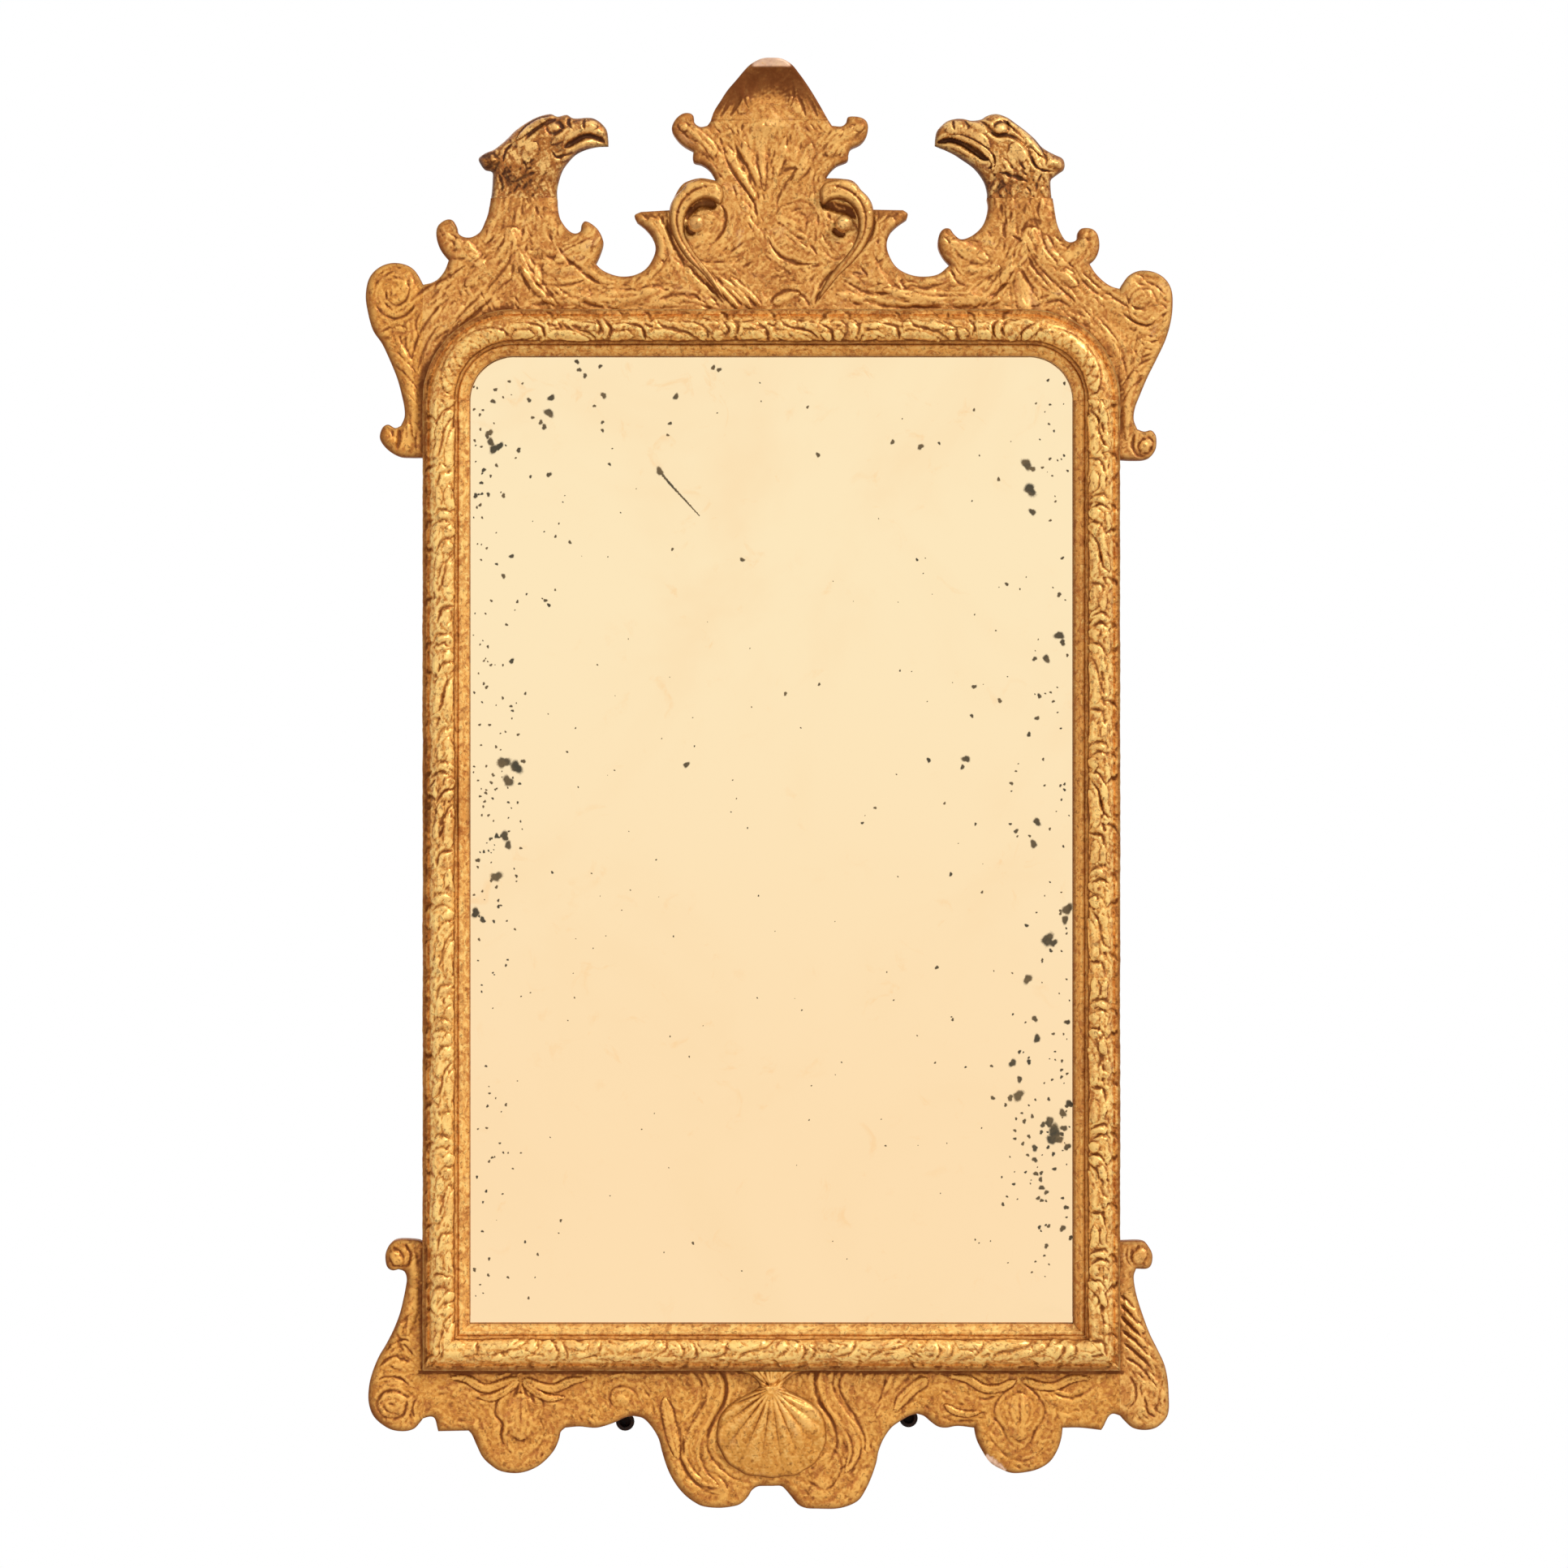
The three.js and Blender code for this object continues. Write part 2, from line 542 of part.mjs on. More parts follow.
function lowerEarOutline() {
  const edge = halfFrame + GLUE_LINE;
  const out = (reach) => halfFrame + reach;
  const up = (rise) => frameFoot + rise;
  const outline = new THREE.Shape();
  outline.moveTo(edge, up(-42));
  outline.splineThru([[4, -46], [10, -51], [20, -53], [32, -51], [41, -45], [46, -35], [47, -24],
    [45, -9], [40, 6], [33, 20], [26, 34], [20, 47], [16, 60], [14, 74], [14, 82]]
    .map(([x, z]) => new THREE.Vector2(out(x), up(z))));
  outline.splineThru([[18, 87], [25, 86], [30, 90], [32, 98], [30, 106], [23, 111], [12, 111]]
    .map(([x, z]) => new THREE.Vector2(out(x), up(z))));
  outline.lineTo(edge, up(109));
  outline.closePath();
  return outline;
}

// ---------------------------------------------------------------- apron

function halfApron() {
  const down = (fall) => frameFoot - fall;
  const inner = dropX - DROP_RADIUS;
  const lobe = [[0, down(100)], [10, down(100)], [17, down(107)], [25, down(115)],
    [36, down(APRON_HEIGHT - 0.5)], [54, down(APRON_HEIGHT)], [68, down(112)], [82, down(98)],
    [91, down(78)], [97, down(60)], [103, down(48)], [110, down(42)], [120, down(38.5)],
    [130, down(40)], [138, down(46)], [mix(138, inner, 0.45), down(50)]];
  return { lobe, inner, edge: down(50) };
}

function apronOutline() {
  const { lobe, inner, edge } = halfApron();
  const side = halfFrame - GLUE_LINE;
  const top = frameFoot - GLUE_LINE;
  const notch = [[halfFrame - 12, edge - 2.5], [halfFrame - 8, edge + 11],
    [halfFrame - 4, edge + 12], [side, edge + 8]];
  const outline = new THREE.Shape();
  outline.moveTo(-side, top);
  for (const [x, z] of [...notch].reverse()) outline.lineTo(-x, z);
  outline.lineTo(-dropX - DROP_RADIUS, edge - 2.5);
  outline.absarc(-dropX, edge, DROP_RADIUS, Math.PI, 2 * Math.PI, false);
  outline.lineTo(-lobe.at(-1)[0], lobe.at(-1)[1]);
  outline.splineThru([...lobe].reverse().slice(1).map(([x, z]) => new THREE.Vector2(-x, z)));
  outline.splineThru(lobe.slice(1).map(([x, z]) => new THREE.Vector2(x, z)));
  outline.lineTo(inner, edge);
  outline.absarc(dropX, edge, DROP_RADIUS, Math.PI, 2 * Math.PI, false);
  for (const [x, z] of notch) outline.lineTo(x, z);
  outline.lineTo(side, top);
  outline.closePath();
  return outline;
}

// A scallop that fans down from its hinge. Ribs stand between hollow flutes.
function scallopShell() {
  const columns = SHELL_RIBS * 4;
  const rows = 8;
  const hinge = shellTop - 14;
  const spread = 1.36; // radians to each side of straight down
  const back = boardFront - GLUE_LINE;
  const front = [];
  for (let r = 0; r <= rows; r += 1) {
    for (let c = 0; c <= columns; c += 1) {
      const angle = mix(-spread, spread, c / columns);
      const rib = Math.cos((c / columns) * SHELL_RIBS * 2 * Math.PI);
      const reach = mix(0.1, 1, r / rows) * (1 + 0.02 * rib * (r / rows));
      const dome = Math.sin(Math.PI * mix(0.3, 0.86, r / rows));
      front.push(new THREE.Vector3(
        reach * SHELL_HALF_WIDTH * Math.sin(2 * angle),
        back - SHELL_RISE * dome * (1 + 0.16 * rib * Math.sqrt(r / rows)),
        hinge - reach * (SHELL_HEIGHT / 2) * (1 + Math.cos(2 * angle))));
    }
  }
  const rim = [];
  const at = (r, c) => r * (columns + 1) + c;
  for (let c = 0; c <= columns; c += 1) rim.push(at(rows, c));
  for (let r = rows - 1; r >= 0; r -= 1) rim.push(at(r, columns));
  for (let c = columns - 1; c >= 0; c -= 1) rim.push(at(0, c));
  for (let r = 1; r < rows; r += 1) rim.push(at(r, 0));
  const points = [...front, ...rim.map((i) => front[i].clone().setY(back))];
  const faces = [];
  for (let r = 0; r < rows; r += 1) {
    for (let c = 0; c < columns; c += 1) {
      faces.push(at(r, c), at(r, c + 1), at(r + 1, c + 1), at(r, c), at(r + 1, c + 1), at(r + 1, c));
    }
  }
  rim.forEach((from, i) => {
    const [j, k] = [front.length + i, front.length + ((i + 1) % rim.length)];
    faces.push(from, rim[(i + 1) % rim.length], k, from, k, j);
  });
  const flat = rim.map((i) => new THREE.Vector2(front[i].x, front[i].z));
  for (const [a, b, c] of THREE.ShapeUtils.triangulateShape(flat, [])) {
    faces.push(front.length + a, front.length + b, front.length + c);
  }
  const geometry = new THREE.BufferGeometry();
  geometry.setAttribute('position', new THREE.Float32BufferAttribute(
    points.flatMap((p) => [p.x, p.y, p.z]), 3));
  geometry.setIndex(faces);
  const fan = reshaped(geometry, (x, y, z) => [x, y, z]);
  const neck = new THREE.Shape();
  neck.moveTo(-10, hinge - 12);
  neck.quadraticCurveTo(-12, hinge + 4, -27, shellTop);
  neck.lineTo(27, shellTop);
  neck.quadraticCurveTo(12, hinge + 4, 10, hinge - 12);
  neck.closePath();
  return joined(fan, sawn(neck, back - SHELL_RISE * 0.7, back, 5));
}

// ---------------------------------------------------------------- plate and backing

// Outline of the opening grown by `grow`, with the shaped upper corners.
function plateRing(grow, y, steps = 8) {
  const radius = Math.max(INNER_CORNER_RADIUS + grow, 1);
  const ring = [];
  const put = (x, z) => ring.push(new THREE.Vector3(x, y, z));
  put(-halfSight - grow, -grow);
  put(halfSight + grow, -grow);
  for (let i = 0; i <= steps; i += 1) {
    const angle = (i / steps) * Math.PI / 2;
    put(cornerX + radius * Math.cos(angle), cornerZ + radius * Math.sin(angle));
  }
  for (let i = 0; i <= steps; i += 1) {
    const angle = Math.PI / 2 + (i / steps) * Math.PI / 2;
    put(-cornerX + radius * Math.cos(angle), cornerZ + radius * Math.sin(angle));
  }
  return ring;
}

const rebateFit = REBATE_WIDTH - GLUE_LINE;
const glassFront = frameBack - REBATE_DEPTH + GLUE_LINE;
const glassBack = glassFront + GLASS_THICKNESS;

function bevelledGlass() {
  const grind = GLASS_THICKNESS - GLASS_EDGE_THICKNESS;
  return lofted([
    plateRing(rebateFit, glassBack),
    plateRing(rebateFit, glassFront + grind),
    plateRing(rebateFit - GLASS_BEVEL_WIDTH, glassFront),
  ]);
}

function buildBacking() {
  const boardBack = frameBack;
  const boardInner = frameBack - BACKBOARD_THICKNESS;
  const whole = lofted([plateRing(rebateFit, boardBack), plateRing(rebateFit, boardInner)]);
  const foot = -rebateFit;
  const head = SIGHT_HEIGHT + rebateFit;
  const width = (head - foot) / BACKBOARD_COUNT;
  for (let i = 0; i < BACKBOARD_COUNT; i += 1) {
    const low = foot + i * width + (i ? GLUE_LINE / 2 : -1);
    const high = foot + (i + 1) * width - (i + 1 < BACKBOARD_COUNT ? GLUE_LINE / 2 : -1);
    const slice = block(-halfFrame, halfFrame, boardInner - 1, boardBack + 1, low, high);
    add(`backboard_${['lower', 'middle', 'upper'][i] ?? i + 1}`, common(whole, slice), pine);
  }
  const near = boardInner - GLUE_LINE;
  const far = glassBack + GLUE_LINE;
  const wall = halfSight + rebateFit;
  const half = BLOCK_LENGTH / 2;
  for (const [side, s] of sides) {
    [0.2, 0.75].forEach((share, i) => {
      const z = SIGHT_HEIGHT * share;
      const upright = block(wall - BLOCK_WIDTH, wall, far, near, z - half, z + half);
      add(`glazing_block_${['lower', 'upper'][i]}_${side}`, mirrored(upright, s), pine);
    });
    const x = s * halfSight * 0.55;
    add(`glazing_block_foot_${side}`, block(
      x - half, x + half, far, near, foot, foot + BLOCK_WIDTH), pine);
    add(`glazing_block_head_${side}`, block(
      x - half, x + half, far, near, head - BLOCK_WIDTH, head), pine);
  }
}

// ---------------------------------------------------------------- battens

function batten(width, x, foot, head) {
  const outline = new THREE.Shape();
  const snipe = width * 0.22;
  outline.moveTo(x - width / 2, foot);
  outline.lineTo(x + width / 2, foot);
  outline.lineTo(x + width / 2, head - snipe);
  outline.lineTo(x + width / 2 - snipe, head);
  outline.lineTo(x - width / 2 + snipe, head);
  outline.lineTo(x - width / 2, head - snipe);
  outline.closePath();
  return sawn(outline, -BATTEN_THICKNESS, 0);
}

function buildBattens() {
  const named = (pattern) => (s) => pattern.test(s.name);
  add('crest_batten', holed(
    batten(CREST_BATTEN_WIDTH, 0, battenFoot, crestBattenTop), named(/^crest_batten/)), pine);
  add('apron_batten', holed(
    batten(APRON_BATTEN_WIDTH, 0, apronBattenFoot, lowerBattenTop), named(/^apron_batten/)), pine);
  for (const [side, s] of sides) {
    const strip = batten(NECK_BATTEN_WIDTH, s * eagleX, battenFoot, neckBattenTop);
    add(`neck_batten_${side}`, holed(strip, (c) => c.name.startsWith('neck_batten')
      && c.name.endsWith(side)), pine);
  }
}

// ---------------------------------------------------------------- hangers

const loopBore = RING_WIRE_RADIUS + RING_PLAY;
const loopRadius = loopBore + HANGER_THICKNESS;
const ringAxisY = frameBack + GLUE_LINE + loopRadius;

// Side view of the strap: a flat tongue that is rolled into a loop round the ring's bar.
function hangerStrap() {
  const floor = frameBack + GLUE_LINE;
  const tongue = new THREE.Shape();
  tongue.moveTo(floor, hangerZ);
  tongue.lineTo(floor, hangerZ - HANGER_LENGTH);
  tongue.lineTo(floor + HANGER_THICKNESS, hangerZ - HANGER_LENGTH);
  const meet = Math.acos((loopRadius - HANGER_THICKNESS) / loopRadius);
  tongue.lineTo(floor + HANGER_THICKNESS, hangerZ - loopRadius * Math.sin(meet));
  tongue.absarc(ringAxisY, hangerZ, loopRadius, Math.PI + meet, 3 * Math.PI, false);
  tongue.closePath();
  tongue.holes.push(new THREE.Path().absarc(ringAxisY, hangerZ, loopBore, 0, 2 * Math.PI, true));
  const strap = new THREE.ExtrudeGeometry(tongue, {
    depth: HANGER_WIDTH, bevelEnabled: false, curveSegments: 10,
  });
  return reshaped(strap, (y, z, x) => [hangerX - HANGER_WIDTH / 2 + x, y, z]);
}

// The ring is one bent wire: half the bar, round the dee, and back along the other half.
function hangingRing() {
  const half = RING_INNER_WIDTH / 2 + RING_WIRE_RADIUS;
  const shoulder = RING_DROP - half;
  const bend = 4;
  const path = new THREE.CurvePath();
  const at = (x, z) => new THREE.Vector3(hangerX + x, ringAxisY, hangerZ + z);
  path.add(new THREE.LineCurve3(at(RING_SEAM / 2, 0), at(half - bend, 0)));
  path.add(new THREE.QuadraticBezierCurve3(at(half - bend, 0), at(half, 0), at(half, -bend)));
  path.add(new THREE.LineCurve3(at(half, -bend), at(half, -shoulder)));
  path.add(new THREE.CubicBezierCurve3(
    at(half, -shoulder), at(half, -shoulder - half * 0.55),
    at(half * 0.55, -RING_DROP), at(0, -RING_DROP)));
  path.add(new THREE.CubicBezierCurve3(
    at(0, -RING_DROP), at(-half * 0.55, -RING_DROP),
    at(-half, -shoulder - half * 0.55), at(-half, -shoulder)));
  path.add(new THREE.LineCurve3(at(-half, -shoulder), at(-half, -bend)));
  path.add(new THREE.QuadraticBezierCurve3(at(-half, -bend), at(-half, 0), at(-half + bend, 0)));
  path.add(new THREE.LineCurve3(at(-half + bend, 0), at(-RING_SEAM / 2, 0)));
  const wire = new THREE.Shape().absarc(0, 0, RING_WIRE_RADIUS, 0, 2 * Math.PI, false);
  return reshaped(new THREE.ExtrudeGeometry(wire, {
    steps: 48, bevelEnabled: false, extrudePath: path, curveSegments: 4,
  }), (x, y, z) => [x, y, z]);
}

// ---------------------------------------------------------------- candle sockets

function candleSocket(x, z) {
  const front = frameBack + GLUE_LINE;
  const tube = new THREE.LatheGeometry([
    new THREE.Vector2(0, SOCKET_LENGTH),
    new THREE.Vector2(SOCKET_RADIUS - 1, SOCKET_LENGTH),
    new THREE.Vector2(SOCKET_RADIUS - 0.6, 2),
    new THREE.Vector2(SOCKET_RADIUS, 1.4),
    new THREE.Vector2(SOCKET_RADIUS, 0),
    new THREE.Vector2(SOCKET_BORE_RADIUS + 0.6, 0),
    new THREE.Vector2(SOCKET_BORE_RADIUS, 0.6),
    new THREE.Vector2(SOCKET_BORE_RADIUS, SOCKET_LENGTH - SOCKET_FLOOR),
    new THREE.Vector2(0, SOCKET_LENGTH - SOCKET_FLOOR),
  ], 20);
  const cup = reshaped(tube, (px, py, pz) => [x + px, front + py, z + pz]);
  const half = SOCKET_STRAP_WIDTH / 2;
  const head = z + SOCKET_STRAP_LENGTH - half;
  const strap = new THREE.Shape();
  strap.moveTo(x - half, z + SOCKET_BORE_RADIUS + 1.5);
  strap.lineTo(x + half, z + SOCKET_BORE_RADIUS + 1.5);
  strap.lineTo(x + half, head);
  strap.absarc(x, head, half, 0, Math.PI, false);
  strap.closePath();
  return joined(cup, sawn(strap, front, front + SOCKET_STRAP_THICKNESS, 6));
}

// ---------------------------------------------------------------- assembly

function buildCarving() {
  const crest = sawn(crestOutline(), boardFront, frameBack, 2);
  add('crest_board', holed(crest, (s) => /^(crest|neck)_batten_screw_upper/.test(s.name)), gilt);
  add('plume_hood', plumeHood(), gilt);
  const apron = sawn(apronOutline(), boardFront, frameBack, 3);
  add('apron_board', holed(apron, (s) => s.name === 'apron_batten_screw_lower'
    || s.name.startsWith('socket_screw')), gilt);
  add('scallop_shell', scallopShell(), gilt);
  const bead = new THREE.SphereGeometry(BEAD_RADIUS, 14, 8)
    .translate(63, boardFront - GLUE_LINE - BEAD_RADIUS, frameTop + 73);
  for (const [side, s] of sides) {
    const drop = s > 0 ? EAR_DROP_RIGHT : 0;
    add(`eagle_head_${side}`, mirrored(eagleHead(), s), gilt);
    add(`acanthus_scroll_${side}`, mirrored(acanthusScroll(), s), gilt);
    add(`scroll_bead_${side}`, mirrored(bead, s), gilt);
    add(`ear_upper_${side}`, mirrored(sawn(upperEarOutline(drop), boardFront, frameBack), s), gilt);
    add(`ear_lower_${side}`, mirrored(sawn(lowerEarOutline(), boardFront, frameBack), s), gilt);
  }
}

function buildMetal() {
  for (const [side, s] of sides) {
    const strap = holed(mirrored(hangerStrap(), s), (c) => c.name.startsWith('hanger')
      && c.name.endsWith(side));
    add(`hanger_strap_${side}`, strap, brass);
    add(`hanging_ring_${side}`, mirrored(hangingRing(), s), brass);
    const place = [s * SOCKET_SPREAD[side], frameFoot - SOCKET_DROP[side]];
    const socket = holed(candleSocket(...place), (c) => c.name.startsWith('socket')
      && c.name.endsWith(side));
    add(`candle_socket_${side}`, socket, iron);
  }
  for (const screw of screws) add(screw.name, screwAt(screw, 0), screw.finish);
}

buildFrame();
buildCarving();
add('mirror_glass', bevelledGlass(), mirrorPlate);
buildBacking();
buildBattens();
buildMetal();
product.position.z = -originZ;

export default product;
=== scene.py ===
import bpy
import math
import numpy as np
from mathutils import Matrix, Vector
from mathutils.geometry import delaunay_2d_cdt
from mathutils.kdtree import KDTree


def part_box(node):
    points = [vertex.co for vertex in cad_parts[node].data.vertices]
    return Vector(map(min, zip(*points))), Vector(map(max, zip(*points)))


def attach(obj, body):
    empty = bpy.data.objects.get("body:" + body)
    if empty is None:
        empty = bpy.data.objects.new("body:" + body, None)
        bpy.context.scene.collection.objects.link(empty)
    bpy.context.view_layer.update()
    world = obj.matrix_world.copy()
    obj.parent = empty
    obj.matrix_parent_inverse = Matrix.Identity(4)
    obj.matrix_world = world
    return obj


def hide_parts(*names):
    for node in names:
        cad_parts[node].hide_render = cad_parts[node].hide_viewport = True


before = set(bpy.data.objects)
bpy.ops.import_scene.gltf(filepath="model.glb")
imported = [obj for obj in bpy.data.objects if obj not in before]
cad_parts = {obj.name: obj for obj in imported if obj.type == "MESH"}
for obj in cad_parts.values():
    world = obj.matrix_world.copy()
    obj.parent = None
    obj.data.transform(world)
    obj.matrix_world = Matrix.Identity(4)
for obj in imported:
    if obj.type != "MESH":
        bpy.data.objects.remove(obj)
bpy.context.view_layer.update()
mm = 0.001
tau = 2 * math.pi
railFoot = 119.5                                  # drawn height of the bottom rail's lower edge
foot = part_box("bottom_rail")[0].z - railFoot * mm
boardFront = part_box("crest_board")[0].y
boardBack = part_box("crest_board")[1].y
glueLine = 0.3 * mm
jointLine = 299                                   # where the ears meet the boards and the stiles
cornerX, cornerZ = 221, 951.5                     # middle of the round corners' arcs
print("frame loaded")

stageSetup = {
    "imageWidth": 1.3453,            # width of the photograph's frame, at the mirror
    "distance": 5.0,
    "centreX": 0.0108,
    "centreZ": 0.6225,               # above the lowest point
    "keyPlace": (5.75, -5.0, 6.5), "keyPower": 605, "keySize": 2.0,
    "fillPlace": (-2.2, -2.6, 0.2), "fillPower": 15, "fillSize": 2.4,
    "backPlace": (-1.4, 2.4, 1.2), "backPower": 34, "backSize": 2.0,
    "worldStrength": 0.46,
    "floorDrop": 0.30,
}


def addArea(name, place, target, power, size):
    light = bpy.data.lights.new(name, "AREA")
    light.energy = power
    light.size = size
    lamp = bpy.data.objects.new(name, light)
    bpy.context.scene.collection.objects.link(lamp)
    spot = Vector(target) + Vector(place)
    lamp.location = spot
    lamp.rotation_euler = (Vector(target) - spot).to_track_quat("-Z", "Y").to_euler()


def makeStage():
    s = stageSetup
    scene = bpy.context.scene
    scene.view_settings.view_transform = "Standard"
    cam = bpy.data.cameras.new("camera")
    cam.lens = 36 * s["distance"] / s["imageWidth"]
    cam.sensor_width = 36
    cam.clip_end = 50
    camObject = bpy.data.objects.new("camera", cam)
    scene.collection.objects.link(camObject)
    camObject.location = (s["centreX"], boardFront - s["distance"], foot + s["centreZ"])
    camObject.rotation_euler = (math.radians(90), 0, 0)
    scene.camera = camObject
    middle = (0, 0, foot + s["centreZ"])
    for lamp in ("key", "fill", "back"):
        addArea(lamp + "Light", s[lamp + "Place"], middle, s[lamp + "Power"], s[lamp + "Size"])
    world = bpy.data.worlds.new("studio")
    scene.world = world
    world.use_nodes = True
    nodes, links = world.node_tree.nodes, world.node_tree.links
    nodes.clear()
    path = nodes.new("ShaderNodeLightPath")
    seen = nodes.new("ShaderNodeMath")
    seen.operation = "MAXIMUM"
    seenToo = nodes.new("ShaderNodeMath")
    seenToo.operation = "MAXIMUM"
    strength = nodes.new("ShaderNodeMapRange")
    strength.inputs["To Min"].default_value = s["worldStrength"]
    strength.inputs["To Max"].default_value = 1.0
    shade = nodes.new("ShaderNodeBackground")
    shade.inputs["Color"].default_value = (1, 1, 1, 1)
    out = nodes.new("ShaderNodeOutputWorld")
    links.new(path.outputs["Is Camera Ray"], seen.inputs[0])
    links.new(path.outputs["Is Glossy Ray"], seen.inputs[1])
    links.new(seen.outputs[0], seenToo.inputs[0])
    links.new(path.outputs["Is Transmission Ray"], seenToo.inputs[1])
    links.new(seenToo.outputs[0], strength.inputs["Value"])
    links.new(strength.outputs["Result"], shade.inputs["Strength"])
    links.new(shade.outputs[0], out.inputs[0])
    bpy.ops.mesh.primitive_plane_add(size=1, location=(0, -0.4, foot - s["floorDrop"]))
    floor = bpy.context.object
    floor.name = "floor"
    floor.scale = (6, 3.4, 1)
    paint = bpy.data.materials.new("paleFloor")
    paint.use_nodes = True
    bsdf = paint.node_tree.nodes["Principled BSDF"]
    bsdf.inputs["Base Color"].default_value = (0.82, 0.81, 0.79, 1)
    bsdf.inputs["Roughness"].default_value = 0.7
    floor.data.materials.append(paint)


makeStage()
print("stage made")


def newGroup(name, inputs, outputs):
    group = bpy.data.node_groups.new(name, "ShaderNodeTree")
    for label, kind, value in inputs:
        socket = group.interface.new_socket(label, in_out="INPUT", socket_type=kind)
        socket.default_value = value
    for label, kind in outputs:
        group.interface.new_socket(label, in_out="OUTPUT", socket_type=kind)
    start, end = group.nodes.new("NodeGroupInput"), group.nodes.new("NodeGroupOutput")
    return group, start, end


class Wires:
    # short forms for the nodes that every effect here is made of
    def __init__(self, tree):
        self.nodes, self.links = tree.nodes, tree.links

    def put(self, value, socket):
        if hasattr(value, "links"):
            self.links.new(value, socket)
        else:
            socket.default_value = value

    def noise(self, vector, scale, detail=4, rough=0.55, distortion=0.0):
        node = self.nodes.new("ShaderNodeTexNoise")
        node.inputs["Scale"].default_value = scale
        node.inputs["Detail"].default_value = detail
        node.inputs["Roughness"].default_value = rough
        node.inputs["Distortion"].default_value = distortion
        self.put(vector, node.inputs["Vector"])
        return node.outputs[0]

    def math(self, operation, a, b=0.0):
        node = self.nodes.new("ShaderNodeMath")
        node.operation = operation
        self.put(a, node.inputs[0])
        self.put(b, node.inputs[1])
        return node.outputs[0]

    def ramp(self, value, low, high, toLow=0.0, toHigh=1.0):
        node = self.nodes.new("ShaderNodeMapRange")
        node.interpolation_type = "SMOOTHSTEP"
        self.put(value, node.inputs["Value"])
        self.put(low, node.inputs["From Min"])
        self.put(high, node.inputs["From Max"])
        self.put(toLow, node.inputs["To Min"])
        self.put(toHigh, node.inputs["To Max"])
        return node.outputs["Result"]

    def mix(self, share, a, b):
        node = self.nodes.new("ShaderNodeMix")
        node.data_type = "RGBA"
        self.put(share, node.inputs["Factor"])
        self.put(a, [s for s in node.inputs if s.identifier == "A_Color"][0])
        self.put(b, [s for s in node.inputs if s.identifier == "B_Color"][0])
        return [s for s in node.outputs if s.identifier == "Result_Color"][0]

    def place(self, scale=(1, 1, 1)):
        coords = self.nodes.new("ShaderNodeTexCoord")
        mapping = self.nodes.new("ShaderNodeMapping")
        mapping.inputs["Scale"].default_value = scale
        self.links.new(coords.outputs["Object"], mapping.inputs["Vector"])
        return mapping.outputs["Vector"]

    def attribute(self, name):
        node = self.nodes.new("ShaderNodeAttribute")
        node.attribute_name = name
        return node.outputs["Fac"]

    def use(self, group, **values):
        node = self.nodes.new("ShaderNodeGroup")
        node.node_tree = group
        for label, value in values.items():
            self.put(value, node.inputs[label])
        return node


def rgb(red, green, blue):
    # a colour as it is read off a screen, 0 to 255
    parts = [c / 255 for c in (red, green, blue)]
    return tuple(c / 12.92 if c <= 0.04045 else ((c + 0.055) / 1.055) ** 2.4 for c in parts) + (1,)


def woodGrain():
    # long streaks along the board, knots left out, with dust in patches
    group, start, end = newGroup("woodGrain", [
        ("Vector", "NodeSocketVector", (0, 0, 0)), ("Pale", "NodeSocketColor", rgb(176, 132, 84)),
        ("Dark", "NodeSocketColor", rgb(110, 72, 38)), ("Dust", "NodeSocketFloat", 0.3),
    ], [("Color", "NodeSocketColor"), ("Height", "NodeSocketFloat")])
    w = Wires(group)
    i = start.outputs
    streak = w.noise(i["Vector"], 60, 6, 0.6, 0.4)
    patch = w.noise(i["Vector"], 7, 4, 0.6)
    colour = w.mix(w.ramp(streak, 0.34, 0.66), i["Dark"], i["Pale"])
    dusty = w.math("MULTIPLY", w.ramp(patch, 0.45, 0.7), i["Dust"])
    colour = w.mix(dusty, colour, rgb(168, 150, 126))
    w.links.new(colour, end.inputs["Color"])
    w.links.new(streak, end.inputs["Height"])
    return group


